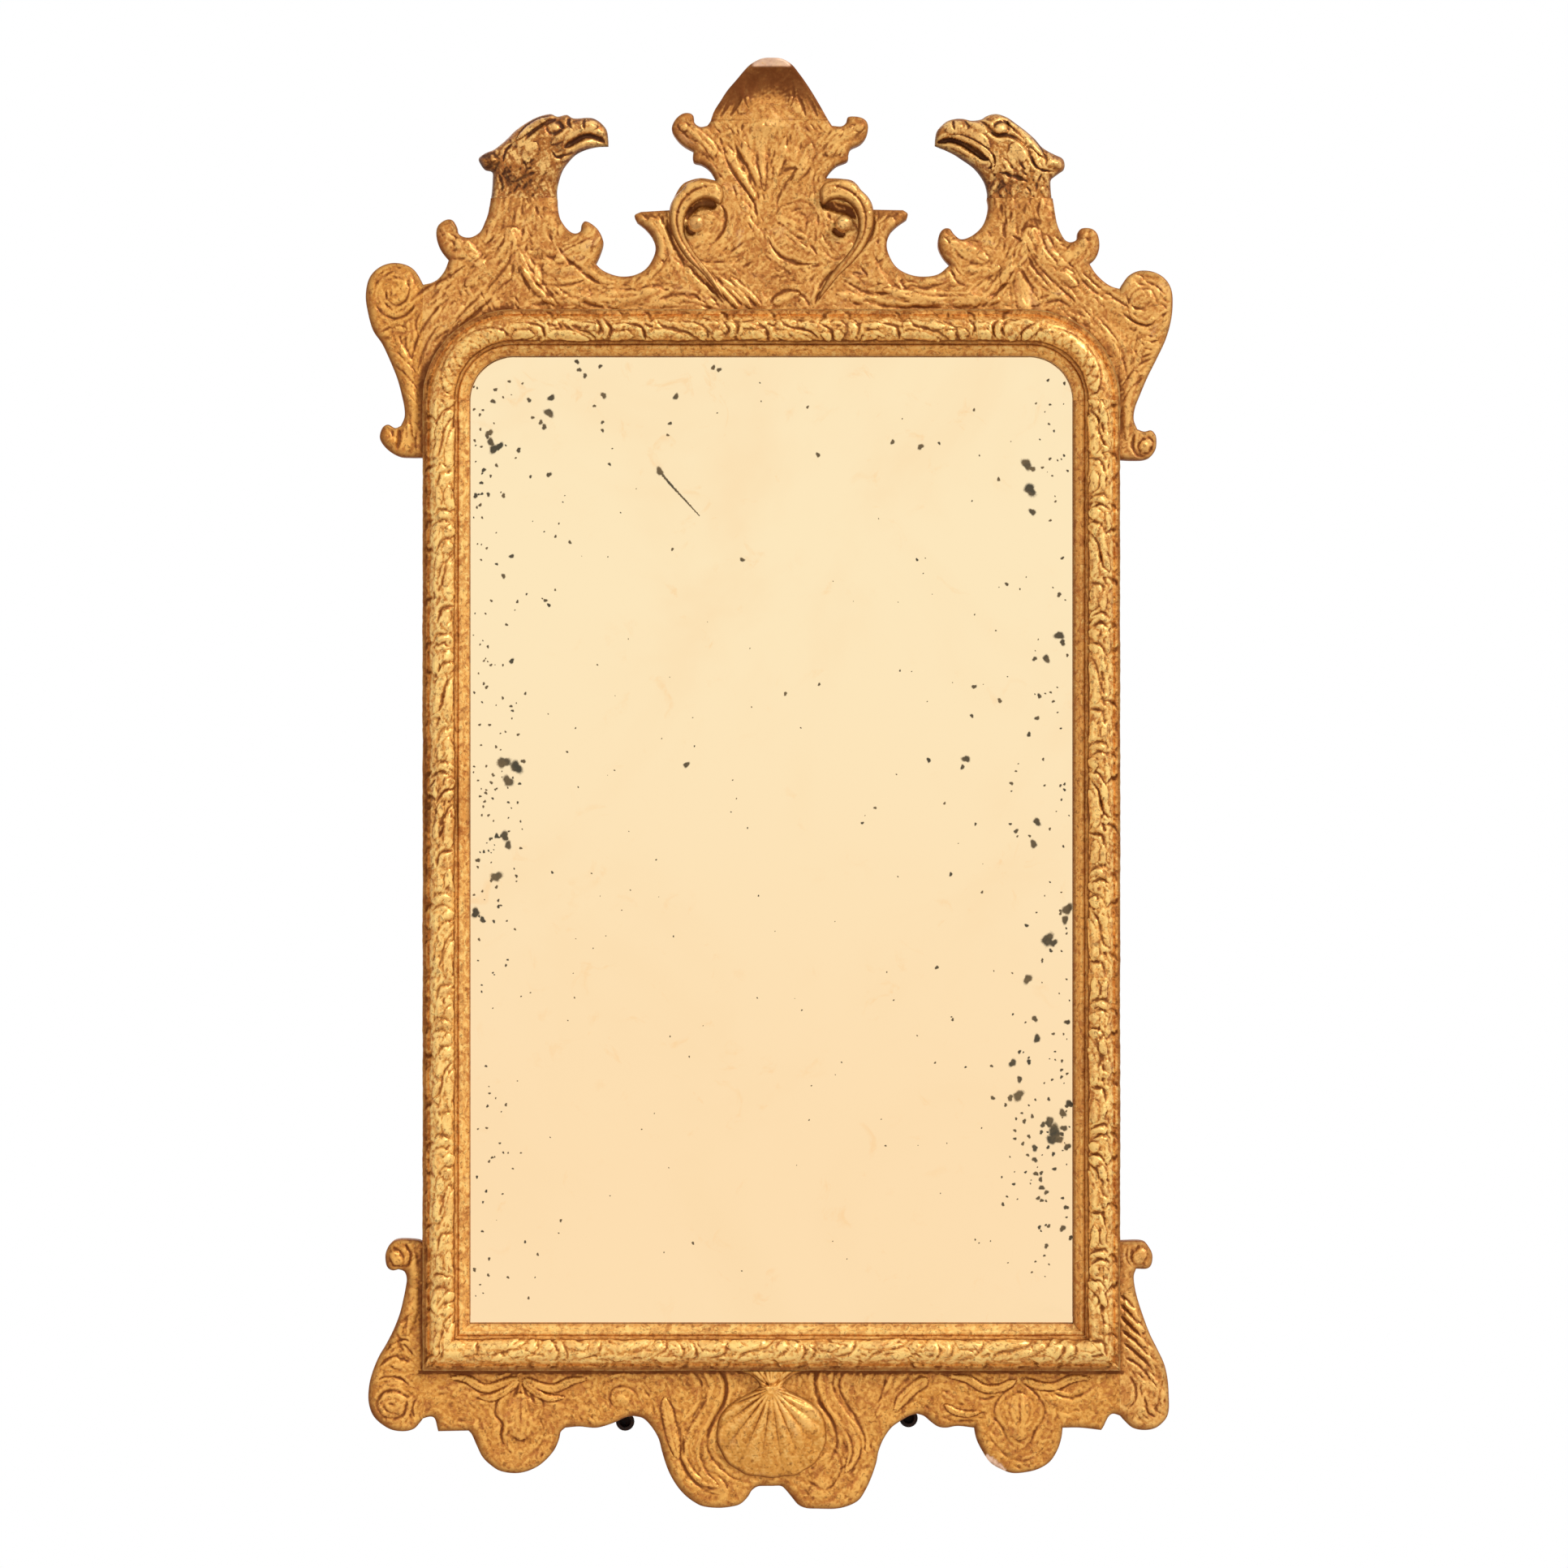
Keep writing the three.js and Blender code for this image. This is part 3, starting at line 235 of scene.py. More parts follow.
def wornGilding():
    # gold leaf over red clay and white gesso: worn bright on high spots, brown glaze in the hollows; the
    # hollow input also brings painted shade in recesses and painted highlight on high spots, and the edge
    # input brings painted shade along edges turned from the light
    group, start, end = newGroup("wornGilding", [
        ("Vector", "NodeSocketVector", (0, 0, 0)), ("PatinaAndShade", "NodeSocketFloat", 0.0),
        ("Edge", "NodeSocketFloat", 0.0), ("Chip", "NodeSocketFloat", 0.0),
        # Bright also serves for painted highlight, and Glaze, the brown of real glaze and dirt, also
        # serves for painted shade
        ("Leaf", "NodeSocketColor", rgb(214, 144, 66)), ("Bright", "NodeSocketColor", rgb(246, 190, 106)),
        ("Glaze", "NodeSocketColor", rgb(118, 60, 10)), ("Clay", "NodeSocketColor", rgb(184, 110, 46)),
        ("Gesso", "NodeSocketColor", rgb(232, 184, 138)), ("Wear", "NodeSocketFloat", 0.5),
    ], [("Color", "NodeSocketColor"), ("Roughness", "NodeSocketFloat"), ("Height", "NodeSocketFloat")])
    w = Wires(group)
    i = start.outputs
    broad = w.noise(i["Vector"], 12, 3, 0.6)
    patchy = w.noise(i["Vector"], 55, 5, 0.66, 0.6)
    mottle = w.noise(i["Vector"], 120, 3, 0.62, 1.2)
    flecks = w.noise(i["Vector"], 290, 3, 0.62, 0.6)
    grainy = w.noise(i["Vector"], 480, 3, 0.7)
    colour = w.mix(w.math("MULTIPLY", w.ramp(broad, 0.36, 0.64), 0.4), i["Leaf"], i["Clay"])
    colour = w.mix(w.ramp(mottle, 0.50, 0.38, 0.0, 0.85), colour, i["Clay"])
    # worn bright: real wear on high spots, with painted highlight where brighter patches are laid in
    raised = w.ramp(i["PatinaAndShade"], 0.46, 0.12)
    wearAndHighlight = w.math("MULTIPLY", raised, w.ramp(patchy, 0.30, 0.62, 0.25, 1.0))
    colour = w.mix(w.math("MULTIPLY", wearAndHighlight, 0.85), colour, i["Bright"])
    glint = w.math("MULTIPLY", w.ramp(mottle, 0.47, 0.66), w.ramp(i["PatinaAndShade"], 0.60, 0.40))
    colour = w.mix(w.math("MULTIPLY", glint, 0.85), colour, i["Bright"])
    colour = w.mix(w.ramp(flecks, 0.54, 0.66, 0.0, 0.5), colour, i["Bright"])
    colour = w.mix(w.ramp(flecks, 0.46, 0.34, 0.0, 0.6), colour, i["Glaze"])
    bare = w.math("MULTIPLY", w.ramp(patchy, 0.58, 0.70), i["Wear"])
    colour = w.mix(w.math("MULTIPLY", bare, 0.5), colour, i["Gesso"])
    # brown glaze and painted shade in the recesses and along edges
    sunk = w.math("MULTIPLY", w.ramp(i["PatinaAndShade"], 0.50, 1.0), w.ramp(patchy, 0.25, 0.6, 0.72, 1.0))
    edgeGlazeAndShade = w.math("MULTIPLY", i["Edge"], w.ramp(patchy, 0.25, 0.7, 1.0, 0.75))
    glazeDirtAndShade = w.math("MAXIMUM", sunk, edgeGlazeAndShade)
    speck = w.math("MULTIPLY", w.ramp(grainy, 0.58, 0.70), 0.14)
    glazeDirtAndShade = w.math("MAXIMUM", glazeDirtAndShade, speck)
    colour = w.mix(glazeDirtAndShade, colour, i["Glaze"])
    chipped = w.math("MULTIPLY", i["Chip"], w.ramp(patchy, 0.30, 0.5))
    colour = w.mix(chipped, colour, rgb(240, 200, 172))
    w.links.new(colour, end.inputs["Color"])
    rough = w.math("ADD", w.ramp(glazeDirtAndShade, 0, 1, 0.38, 0.62), w.ramp(patchy, 0.3, 0.7, -0.05, 0.1))
    w.links.new(rough, end.inputs["Roughness"])
    height = w.math("ADD", w.math("MULTIPLY", grainy, 0.25), w.math("MULTIPLY", mottle, 0.75))
    w.links.new(height, end.inputs["Height"])
    return group


gildingGroup = wornGilding()
grainGroup = woodGrain()


def newMaterial(name):
    material = bpy.data.materials.new(name)
    material.use_nodes = True
    bsdf = material.node_tree.nodes["Principled BSDF"]
    bsdf.inputs["Specular IOR Level"].default_value = 0.3
    return material, Wires(material.node_tree), bsdf


def bump(w, bsdf, height, distance, strength=1.0):
    node = w.nodes.new("ShaderNodeBump")
    node.inputs["Distance"].default_value = distance
    node.inputs["Strength"].default_value = strength
    w.put(height, node.inputs["Height"])
    w.links.new(node.outputs[0], bsdf.inputs["Normal"])


giltLooks = {
    "carvedGilt": {"wear": 0.45, "metal": 0.3},
    "deepGilt": {"wear": 0.12, "metal": 0.35, "leaf": rgb(210, 138, 54), "bright": rgb(244, 182, 92)},
    "mouldingGilt": {"wear": 0.15, "metal": 0.35, "leaf": rgb(234, 165, 80), "bright": rgb(255, 214, 130)},
    "eagleGilt": {"wear": 0.2, "metal": 0.45, "leaf": rgb(186, 116, 46), "bright": rgb(250, 200, 120),
                  "glaze": rgb(70, 32, 6), "clay": rgb(150, 84, 32)},
    "shellGilt": {"wear": 0.3, "metal": 0.35, "leaf": rgb(222, 154, 66), "clay": rgb(202, 130, 48)},
}


def giltMaterial(name):
    look = giltLooks[name]
    material, w, bsdf = newMaterial(name)
    # the hollow attribute brings brown glaze and painted shade, and the edge attribute brings dirt and
    # painted shade
    values = {"Vector": w.place(), "PatinaAndShade": w.attribute("hollow"), "Edge": w.attribute("edge"),
              "Chip": w.attribute("chip"), "Wear": look["wear"]}
    for label in ("leaf", "bright", "glaze", "clay"):
        if label in look:
            values[label.capitalize()] = look[label]
    effect = w.use(gildingGroup, **values)
    wood = w.use(grainGroup, Vector=w.place(scale=(1, 1, 0.06)), Dust=0.5,
                 Pale=rgb(150, 104, 62), Dark=rgb(92, 58, 30))
    colour = w.mix(w.attribute("bare"), effect.outputs["Color"], wood.outputs["Color"])
    w.links.new(colour, bsdf.inputs["Base Color"])
    w.links.new(effect.outputs["Roughness"], bsdf.inputs["Roughness"])
    metal = w.math("MULTIPLY", w.math("SUBTRACT", 1.0, w.attribute("bare")), look["metal"])
    w.links.new(metal, bsdf.inputs["Metallic"])
    bump(w, bsdf, effect.outputs["Height"], 0.0005, 0.6)
    return material


def pineMaterial():
    material, w, bsdf = newMaterial("oldPine")
    wood = w.use(grainGroup, Vector=w.place(scale=(1, 1, 0.05)), Dust=0.45)
    w.links.new(wood.outputs["Color"], bsdf.inputs["Base Color"])
    bsdf.inputs["Roughness"].default_value = 0.8
    bump(w, bsdf, wood.outputs["Height"], 0.0004, 0.6)
    return material


def metalMaterial(name, clean, tarnish, metallic, smooth, dull):
    material, w, bsdf = newMaterial(name)
    patch = w.noise(w.place(), 220, 5, 0.65)
    worn = w.ramp(patch, 0.38, 0.66)
    w.links.new(w.mix(worn, clean, tarnish), bsdf.inputs["Base Color"])
    w.links.new(w.ramp(patch, 0.35, 0.7, smooth, dull), bsdf.inputs["Roughness"])
    bsdf.inputs["Metallic"].default_value = metallic
    bump(w, bsdf, patch, 0.0002, 0.5)
    return material


gilt = {name: giltMaterial(name) for name in giltLooks}
pine = pineMaterial()
agedBrass = metalMaterial("agedBrass", rgb(186, 146, 70), rgb(108, 78, 38), 0.95, 0.28, 0.55)
blackIron = metalMaterial("blackIron", rgb(30, 24, 22), rgb(58, 38, 30), 0.75, 0.42, 0.7)
print("materials made")


def smoothThrough(points, spacing):
    # an even chain of points on the smooth curve through the drawn ones
    p = np.array(points, float)
    padded = np.vstack([2 * p[:1] - p[1:2], p, 2 * p[-1:] - p[-2:-1]])
    chain = []
    for k in range(len(padded) - 3):
        a, b, c, d = padded[k:k + 4]
        count = max(2, int(np.linalg.norm(c - b) / spacing) + 1)
        t = np.linspace(0, 1, count, endpoint=False)[:, None]
        chain.append(0.5 * (2 * b + (c - a) * t + (2 * a - 5 * b + 4 * c - d) * t ** 2
                            + (3 * b - a - 3 * c + d) * t ** 3))
    return np.vstack(chain + [p[-1:]])


def evenChain(points, spacing):
    steps = np.linalg.norm(np.diff(points, axis=0), axis=1)
    run = np.concatenate([[0], np.cumsum(steps)])
    count = max(2, int(run[-1] / spacing) + 1)
    wanted = np.linspace(0, run[-1], count)
    return np.column_stack([np.interp(wanted, run, points[:, k]) for k in (0, 1)])


def drawn(points, spacing):
    if len(points) > 2:
        return evenChain(smoothThrough(points, spacing), spacing)
    return evenChain(np.array(points, float), spacing)


def joint(*points):
    # a stretch that butts against a neighbour, so its edge stays square
    return ("joint", list(points))


def numbersOf(text):
    # every word is one point, spot or blot, its numbers parted by commas
    return [tuple(float(n) for n in word.split(",")) for word in text.split()]


def strokesOf(text):
    # a stroke is its kind, half width, depth, the shares over which its two ends taper unless they are
    # the usual ones, and its points
    strokes = []
    for word in text.split():
        if word.isalpha():
            strokes.append((word, [], []))
        elif "," in word:
            strokes[-1][2].extend(numbersOf(word))
        else:
            strokes[-1][1].append(float(word))
    return [(kind, *sizes[:2], points, *sizes[2:]) for kind, sizes, points in strokes]


def stretchesOf(text):
    # an outline's stretches: a curve is smooth, and a joint is as above
    return [joint(*points) if kind == "joint" else points for kind, points in strokesOf(text)]


def outlineOf(stretches, spacing):
    # each stretch is smooth, and stretches meet at corners
    parts, square = [], []
    for stretch in stretches:
        butts = stretch[0] == "joint"
        part = drawn(stretch[1] if butts else stretch, spacing)[:-1]
        parts.append(part)
        square.append(np.full(len(part), butts))
    outline, square = np.vstack(parts), np.concatenate(square)
    following = np.roll(outline, -1, 0)
    if (outline[:, 0] * following[:, 1] - following[:, 0] * outline[:, 1]).sum() < 0:
        outline, square = outline[::-1], square[::-1]
    return outline, square


def fillOutline(outline, spacing):
    rows = np.arange(outline[:, 1].min(), outline[:, 1].max(), spacing * 0.866)
    a, b = outline, np.roll(outline, -1, 0)
    inside = []
    for k, level in enumerate(rows):
        hit = (a[:, 1] > level) != (b[:, 1] > level)
        share = (level - a[hit, 1]) / (b[hit, 1] - a[hit, 1])
        cuts = np.sort(a[hit, 0] + share * (b[hit, 0] - a[hit, 0]))
        for left, right in zip(cuts[::2], cuts[1::2]):
            first = math.ceil((left - 0.5 * (k % 2) * spacing) / spacing)
            line = (np.arange(first, (right / spacing) + 1) + 0.5 * (k % 2)) * spacing
            line = line[(line > left + 0.3 * spacing) & (line < right - 0.3 * spacing)]
            inside.append(np.column_stack([line, np.full(len(line), level)]))
    return np.vstack(inside)


def nearestTo(points, targets):
    tree = KDTree(len(targets))
    for k, point in enumerate(targets):
        tree.insert((point[0], point[1], 0), k)
    tree.balance()
    found = [tree.find((x, z, 0))[1:] for x, z in points]
    return np.array([f[1] for f in found]), np.array([f[0] for f in found])


def distanceTo(points, targets):
    return nearestTo(points, targets)[0]


class Relief:
    # a face's points, their heights in millimetres and how far each is from the outline
    def __init__(self, stretches, spacing):
        outline, square = outlineOf(stretches, spacing)
        fill = fillOutline(outline, spacing)
        fill = fill[distanceTo(fill, outline) > spacing * 0.55]
        count = len(outline)
        verts = [Vector(p) for p in outline] + [Vector(p) for p in fill]
        result = delaunay_2d_cdt(verts, [], [list(range(count))], 1, 1e-7)
        self.points = np.array([tuple(v) for v in result[0]])
        self.faces = np.array(result[2])
        where = {old: new for new, olds in enumerate(result[3]) for old in olds}
        self.rim = [where[k] for k in range(count)]
        self.x, self.z = self.points[:, 0], self.points[:, 1]
        way = np.roll(outline, -1, 0) - np.roll(outline, 1, 0)
        out = np.column_stack([way[:, 1], -way[:, 0]]) / np.linalg.norm(way, axis=1)[:, None]
        self.edge, which = nearestTo(self.points, outline[~square])
        # how far the nearest edge is turned from the light
        self.shadowed = np.clip(out[~square][which] @ np.array([-0.85, -0.5]), 0, 1)
        self.h = np.zeros(len(self.points))
        self.near = np.full(len(self.points), 1e3)   # distance to the nearest stroke
        self.flow = []                               # points on the strokes and which way they run
        self.links = linksOf(self.faces)


def linksOf(faces):
    pairs = [faces[:, [k, (k + 1) % faces.shape[1]]] for k in range(faces.shape[1])]
    return np.unique(np.sort(np.vstack(pairs), 1), axis=0)


def spread(values, links, rounds):
    a, b = links[:, 0], links[:, 1]
    count = np.bincount(a, minlength=len(values)) + np.bincount(b, minlength=len(values))
    out = np.array(values, float)
    for _ in range(rounds):
        total = (np.bincount(a, out[b], minlength=len(values))
                 + np.bincount(b, out[a], minlength=len(values)))
        out = 0.4 * out + 0.6 * total / np.maximum(count, 1)
    return out


def smoothstep(value, low, high):
    t = np.clip((value - low) / (high - low), 0, 1)
    return t * t * (3 - 2 * t)


def wobble(x, z, size, seed, layers=7):
    # soft irregular waves about size millimetres long, mostly between -1 and 1
    rng = np.random.default_rng(seed)
    total = 0
    for _ in range(layers):
        turn, phase = rng.uniform(0, tau, 2)
        wave = size * rng.uniform(0.6, 1.7)
        total = total + np.sin((x * math.cos(turn) + z * math.sin(turn)) * tau / wave + phase)
    return total / layers ** 0.5


def alongStroke(relief, points, reach):
    curve = drawn(points, 1.2)
    low, high = curve.min(0) - reach, curve.max(0) + reach
    idx = np.where((relief.x > low[0]) & (relief.x < high[0])
                   & (relief.z > low[1]) & (relief.z < high[1]))[0]
    best = np.full(len(idx), 1e9)
    share, side = np.zeros(len(idx)), np.zeros(len(idx))
    way = np.diff(curve, axis=0)
    size = np.maximum((way ** 2).sum(1), 1e-9)
    px, pz = relief.x[idx], relief.z[idx]
    for k in range(len(way)):
        dx, dz = px - curve[k, 0], pz - curve[k, 1]
        t = np.clip((dx * way[k, 0] + dz * way[k, 1]) / size[k], 0, 1)
        d2 = (dx - t * way[k, 0]) ** 2 + (dz - t * way[k, 1]) ** 2
        closer = d2 < best
        best[closer] = d2[closer]
        share[closer] = (k + t[closer]) / len(way)
        side[closer] = np.sign(way[k, 0] * dz[closer] - way[k, 1] * dx[closer])
    return idx, np.sqrt(best), share, side, np.sqrt(size).sum()


def carve(relief, kind, width, depth, points, start=0.2, end=0.3):
    # width is half the stroke's width; start and end are the shares over which it tapers
    if kind == "guide":
        return
    idx, d, share, side, length = alongStroke(relief, points, width * 3.2)
    if not len(idx):
        return
    taper = np.ones(len(idx))
    if start:
        taper = np.minimum(taper, np.sqrt(np.clip(share / start, 0, 1)))
    if end:
        taper = np.minimum(taper, np.sqrt(np.clip((1 - share) / end, 0, 1)))
    w = np.maximum(width * taper, 0.4)
    q = d / w
    h = relief.h[idx]
    if kind == "bead":            # a round raised stem
        h = np.where(q < 1, np.maximum(h, 0) * 0.5 + depth * np.sqrt(np.clip(1 - q * q, 0, 1)), h)
        h = h - 0.3 * depth * np.exp(-((q - 1.3) / 0.3) ** 2)
    elif kind == "strap":         # a raised band, hollow along its middle
        lift = depth * (1 - 0.5 * np.clip(1 - (q / 0.72) ** 2, 0, 1)) * np.clip((1 - q) / 0.25, 0, 1)
        h = np.where(q < 1, h * 0.4 + lift, h) - 0.3 * depth * np.exp(-((q - 1.25) / 0.25) ** 2)
    elif kind == "line":          # a gouge's cut with a little lift beside it
        h = h - depth * taper * np.exp(-q * q)
        h = h + 0.22 * depth * taper * np.exp(-((q - 2.0) / 0.8) ** 2)
    elif kind == "dig":           # a steep hollow
        h = h - depth * taper * np.clip(1 - q ** 2.5, 0, 1)
    elif kind == "petal":         # a plump leaf with a crease round it
        plump = 0.85 * depth * np.clip(1 - q ** 2, 0, 1) ** 0.8
        h = np.where(q < 1, np.maximum(h, 0) * 0.4 + plump, h)
        h = h - 0.3 * depth * taper * np.exp(-((q - 1.16) / 0.18) ** 2)
    elif kind == "mound":         # a soft swelling
        h = h + depth * np.clip(1 - q * q, 0, 1) ** 1.5
    elif kind == "ledge":         # ground that stands up on the stroke's left and falls away on its right
        signed = side * d
        up = smoothstep(signed, -0.9, 0.9) * np.exp(-np.clip(signed, 0, None) / w)
        h = h + depth * taper * up
        h = h - 0.5 * depth * taper * np.exp(-((signed + 1.4) / 1.1) ** 2)
    elif kind == "leaf":          # a raised leaf with a midrib and slanting veins
        rise = depth * np.sqrt(np.clip(1 - q ** 1.7, 0, 1))
        veins = 0.2 * depth * np.sin((share * length + 0.9 * d) * math.pi / (width * 0.8)) ** 2
        rib = 0.4 * depth * np.exp(-(d / 0.9) ** 2)
        leafed = np.maximum(h * 0.3, 0) + rise - veins * np.clip(q * 1.5, 0, 1) - rib
        h = np.where(q < 1, leafed, h) - 0.28 * depth * np.exp(-((q - 1.2) / 0.25) ** 2)
    relief.h[idx] = h
    relief.near[idx] = np.minimum(relief.near[idx], d)


def carveAll(relief, strokes, flips=(1,), strength=1.0):
    for kind, width, depth, points, *taper in strokes:
        depth = depth * (strength if kind in ("line", "ledge", "strap") else 1)
        for flip in flips:
            turned = [(flip * x, z) for x, z in points]
            curve = drawn(turned, 3)
            if len(curve) > 2:
                relief.flow += zip(curve[:-1], np.diff(curve, axis=0))
            if flip < 0 and kind == "ledge":
                turned = turned[::-1]
                ends = dict(zip(("end", "start"), taper))
            else:
                ends = dict(zip(("start", "end"), taper))
            carve(relief, kind, width, depth, turned, **ends)


def handWork(relief, seed, dimple=0.14, wave=0.5):
    # uneven ground: shallow gouge dimples on slow waves
    away = smoothstep(relief.near, 1.5, 7)
    a = wobble(relief.x, relief.z, 7.5, seed)
    b = wobble(relief.x, relief.z, 6.0, seed + 1)
    relief.h -= dimple * np.clip(a * b, -1, 1) * (0.35 + 0.65 * away)
    relief.h += wave * wobble(relief.x, relief.z, 34, seed + 2)
    relief.h += 0.08 * wobble(relief.x, relief.z, 3.2, seed + 3)


def comb(relief, count, seed, depth=0.6, longest=14):
    # many short shallow strokes that run the way the drawn ones do
    rng = np.random.default_rng(seed)
    tree = KDTree(len(relief.flow))
    for k, (point, way) in enumerate(relief.flow):
        tree.insert((point[0], point[1], 0), k)
    tree.balance()
    inside = np.where((relief.edge > 3) & (np.abs(np.abs(relief.x) - jointLine) > 9))[0]
    for k in rng.choice(inside, count):
        x, z = relief.x[k], relief.z[k]
        _, nearest, far = tree.find((x, z, 0))
        way = relief.flow[nearest][1]
        turn = math.atan2(way[1], way[0]) + rng.normal(0, 0.1 + 0.008 * far)
        half = rng.uniform(0.35, 0.5) * longest * rng.uniform(0.5, 1)
        bend = rng.uniform(-0.22, 0.22) * half
        dx, dz = math.cos(turn), math.sin(turn)
        points = [(x - dx * half, z - dz * half), (x - dz * bend, z + dx * bend),
                  (x + dx * half, z + dz * half)]
        if rng.uniform() < 0.6:
            carve(relief, "line", rng.uniform(1.1, 1.7), depth * rng.uniform(0.4, 1.1), points, 0.4, 0.4)
        else:
            carve(relief, "mound", rng.uniform(1.8, 3.4), depth * rng.uniform(0.5, 1.1), points, 0.4, 0.4)


def roundRim(relief, radius, drop):
    q = np.clip(1 - relief.edge / radius, 0, 1)
    fade = smoothstep(relief.edge, 0, radius * 1.8)
    relief.h = relief.h * fade - drop * (1 - np.sqrt(np.clip(1 - q * q, 0, 1)))


def hollowOf(h, links, fine=4, broad=24, scale=1.1):
    # how sunk each point is against its neighbours, for the brown glaze and painted shade in recesses and
    # the lighter high spots
    fineDip = spread(h, links, fine) - h
    broadDip = spread(h, links, broad) - h
    return np.clip(0.42 + (0.8 * fineDip + 0.5 * broadDip) / scale, 0, 1)


def newPiece(name, verts, faces, material, stands, body="frame"):
    mesh = bpy.data.meshes.new(name)
    mesh.from_pydata(verts.tolist(), [], faces)
    mesh.update()
    piece = bpy.data.objects.new(name, mesh)
    bpy.context.scene.collection.objects.link(piece)
    mesh.materials.append(material)
    bpy.ops.object.select_all(action="DESELECT")
    piece.select_set(True)
    bpy.context.view_layer.objects.active = piece
    bpy.ops.object.shade_smooth_by_angle(angle=math.radians(52))
    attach(piece, body)
    if stands:
        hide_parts(*stands)
    return piece


def paint(piece, **fields):
    for name, values in fields.items():
        layer = piece.data.attributes.new(name, "FLOAT", "POINT")
        layer.data.foreach_set("value", np.asarray(values, np.float32))


def tones(x, z, spots):
    # darker (above 0) and brighter (below 0) patches, partly painted shade and painted highlight and
    # partly the gilding's own uneven colour: middle, radius and amount
    total = np.zeros(len(x))
    for cx, cz, r, amount in spots:
        total += amount * np.exp(-((x - cx) ** 2 + (z - cz) ** 2) / r ** 2)
    return total


def jointShade(x, z):
    # painted shadow: the brown shade where a board meets the outer edge of the moulding, stronger on the
    # left
    side = np.abs(x)
    low = 1.1 * np.exp(-((railFoot - z) / 3.2) ** 2) * (z < railFoot + 0.1) * (side < jointLine + 4)
    stiles = np.where(x < 0, 0.6, 0.3) * np.exp(-((side - jointLine) / 3.2) ** 2) * smoothstep(z, 116, 124)
    stiles *= 1 - smoothstep(z, 965, 1000)
    reach = np.hypot(side - cornerX, z - cornerZ)
    arc = np.where(x < 0, 0.6, 0.25) * np.exp(-((reach - 79) / 3.0) ** 2) * (side > cornerX)
    return low + stiles + arc * smoothstep(z, 951, 975)


def inPlace(flat, y):
    # drawn millimetres to the frame's own metres
    return np.column_stack([flat[:, 0] * mm, np.broadcast_to(y, len(flat)), foot + flat[:, 1] * mm])


def carvedBoard(name, relief, front, back, material, stands, chip=None, edgeWidth=3.8, shade=None):
    # the carved face, a square-sawn edge and a plain back, as one closed piece
    if shade is None:
        shade = hollowOf(relief.h, relief.links) + jointShade(relief.x, relief.z)
    flat = relief.points[relief.rim]
    count, around = len(relief.points), len(flat)
    blocks = [inPlace(relief.points, front - relief.h * mm)]
    shares = (0.3, 0.75, 0.985, 1.0)
    rimFront = front - relief.h[relief.rim] * mm
    rows = [relief.rim]
    for k, share in enumerate(shares):
        blocks.append(inPlace(flat, rimFront + (back - rimFront) * share))
        rows.append(list(range(count + k * around, count + (k + 1) * around)))
    faces = relief.faces.tolist()
    for near, far in zip(rows, rows[1:]):
        for k in range(around):
            j = (k + 1) % around
            faces.append((near[k], far[k], far[j], near[j]))
    plain = delaunay_2d_cdt([Vector(p) for p in flat], [], [list(range(around))], 1, 1e-7)
    old = [olds[0] for olds in plain[3]]
    for face in plain[2]:
        faces.append(tuple(rows[-1][old[i]] for i in reversed(face)))
    piece = newPiece(name, np.vstack(blocks), faces, material, stands)
    side = len(flat) * len(shares)
    zeros, ones = np.zeros(around), np.ones(around)
    # painted shade along the outline, wider and darker on edges turned from the light, with brown dirt on
    # every edge
    rimDirtAndShade = np.clip(1.3 - relief.edge / (edgeWidth * (0.8 + 0.8 * relief.shadowed)), 0, 1)
    rimDirtAndShade *= 0.7 + 0.3 * relief.shadowed
    paint(piece, hollow=np.concatenate([np.clip(shade, 0, 1), np.full(side, 0.5)]),
          edge=np.concatenate([rimDirtAndShade, np.full(side, 0.9)]),
          bare=np.concatenate([np.zeros(count), zeros, zeros + 0.15, zeros + 0.3, ones]),
          chip=np.concatenate([np.zeros(count) if chip is None else chip, np.zeros(side)]))
    print(name, "carved with", len(relief.points), "points")
    return piece


plume = {
    "spacing": 1.0, "foot": 1192.5, "reach": 15.2,
    "strokes": strokesOf("""
        line 1.3 1.0 0.1 0.3 -36,1194 -30,1204 -24,1214
        line 1.2 0.9 0.1 0.3 -44,1194 -39,1202 -33,1212
        line 1.3 1.0 0.1 0.3 30,1194 27,1204 22,1214
        line 1.2 0.9 0.1 0.3 40,1194 36,1203 30,1214
        line 1.2 0.8 0.3 0.3 -20,1202 -23,1212 -22,1224
        line 1.2 0.8 0.3 0.3 16,1202 19,1212 18,1226
        mound 5 1.2 -27,1198 -20,1212
        mound 5 1.2 24,1198 17,1212
    """),
}


def plumeForm(x, z):
    # how far the plume stands out: a low dome, then a hollow that curls forward to the rim
    t = np.clip((z - 1190) / 46, 0, 1)
    width = np.interp(z, [1190, 1205, 1225, 1240], [50, 41, 28, 16])
    curl = plume["reach"] * t ** 2.1 * (1 - 0.25 * np.clip(np.abs(x) / width, 0, 1) ** 2)
    dome = 3.4 * np.exp(-((x + 5) / 17) ** 2 - ((z - 1192) / 13) ** 2)
    hollow = 4.2 * np.clip(1 - ((x + 1) / 29) ** 2 - ((z - 1224) / 19) ** 2, 0, 1)
    return curl + dome - hollow + 0.4


def plumeShade(x, z):
    # painted shade in the hollow, darkest under the rim, and a painted shadow down its left side
    deep = smoothstep(z + 0.012 * np.minimum(np.abs(x), 40) ** 2, 1202, 1226) * smoothstep(z, 1188, 1206)
    left = np.exp(-((x + 27) / 7) ** 2) * smoothstep(z, 1190, 1206)
    return 0.66 * deep + 0.28 * left


neckSwell = {"low": 1092, "join": 1125.2, "middle": 213, "half": 29, "height": 2.8, "radius": 9}


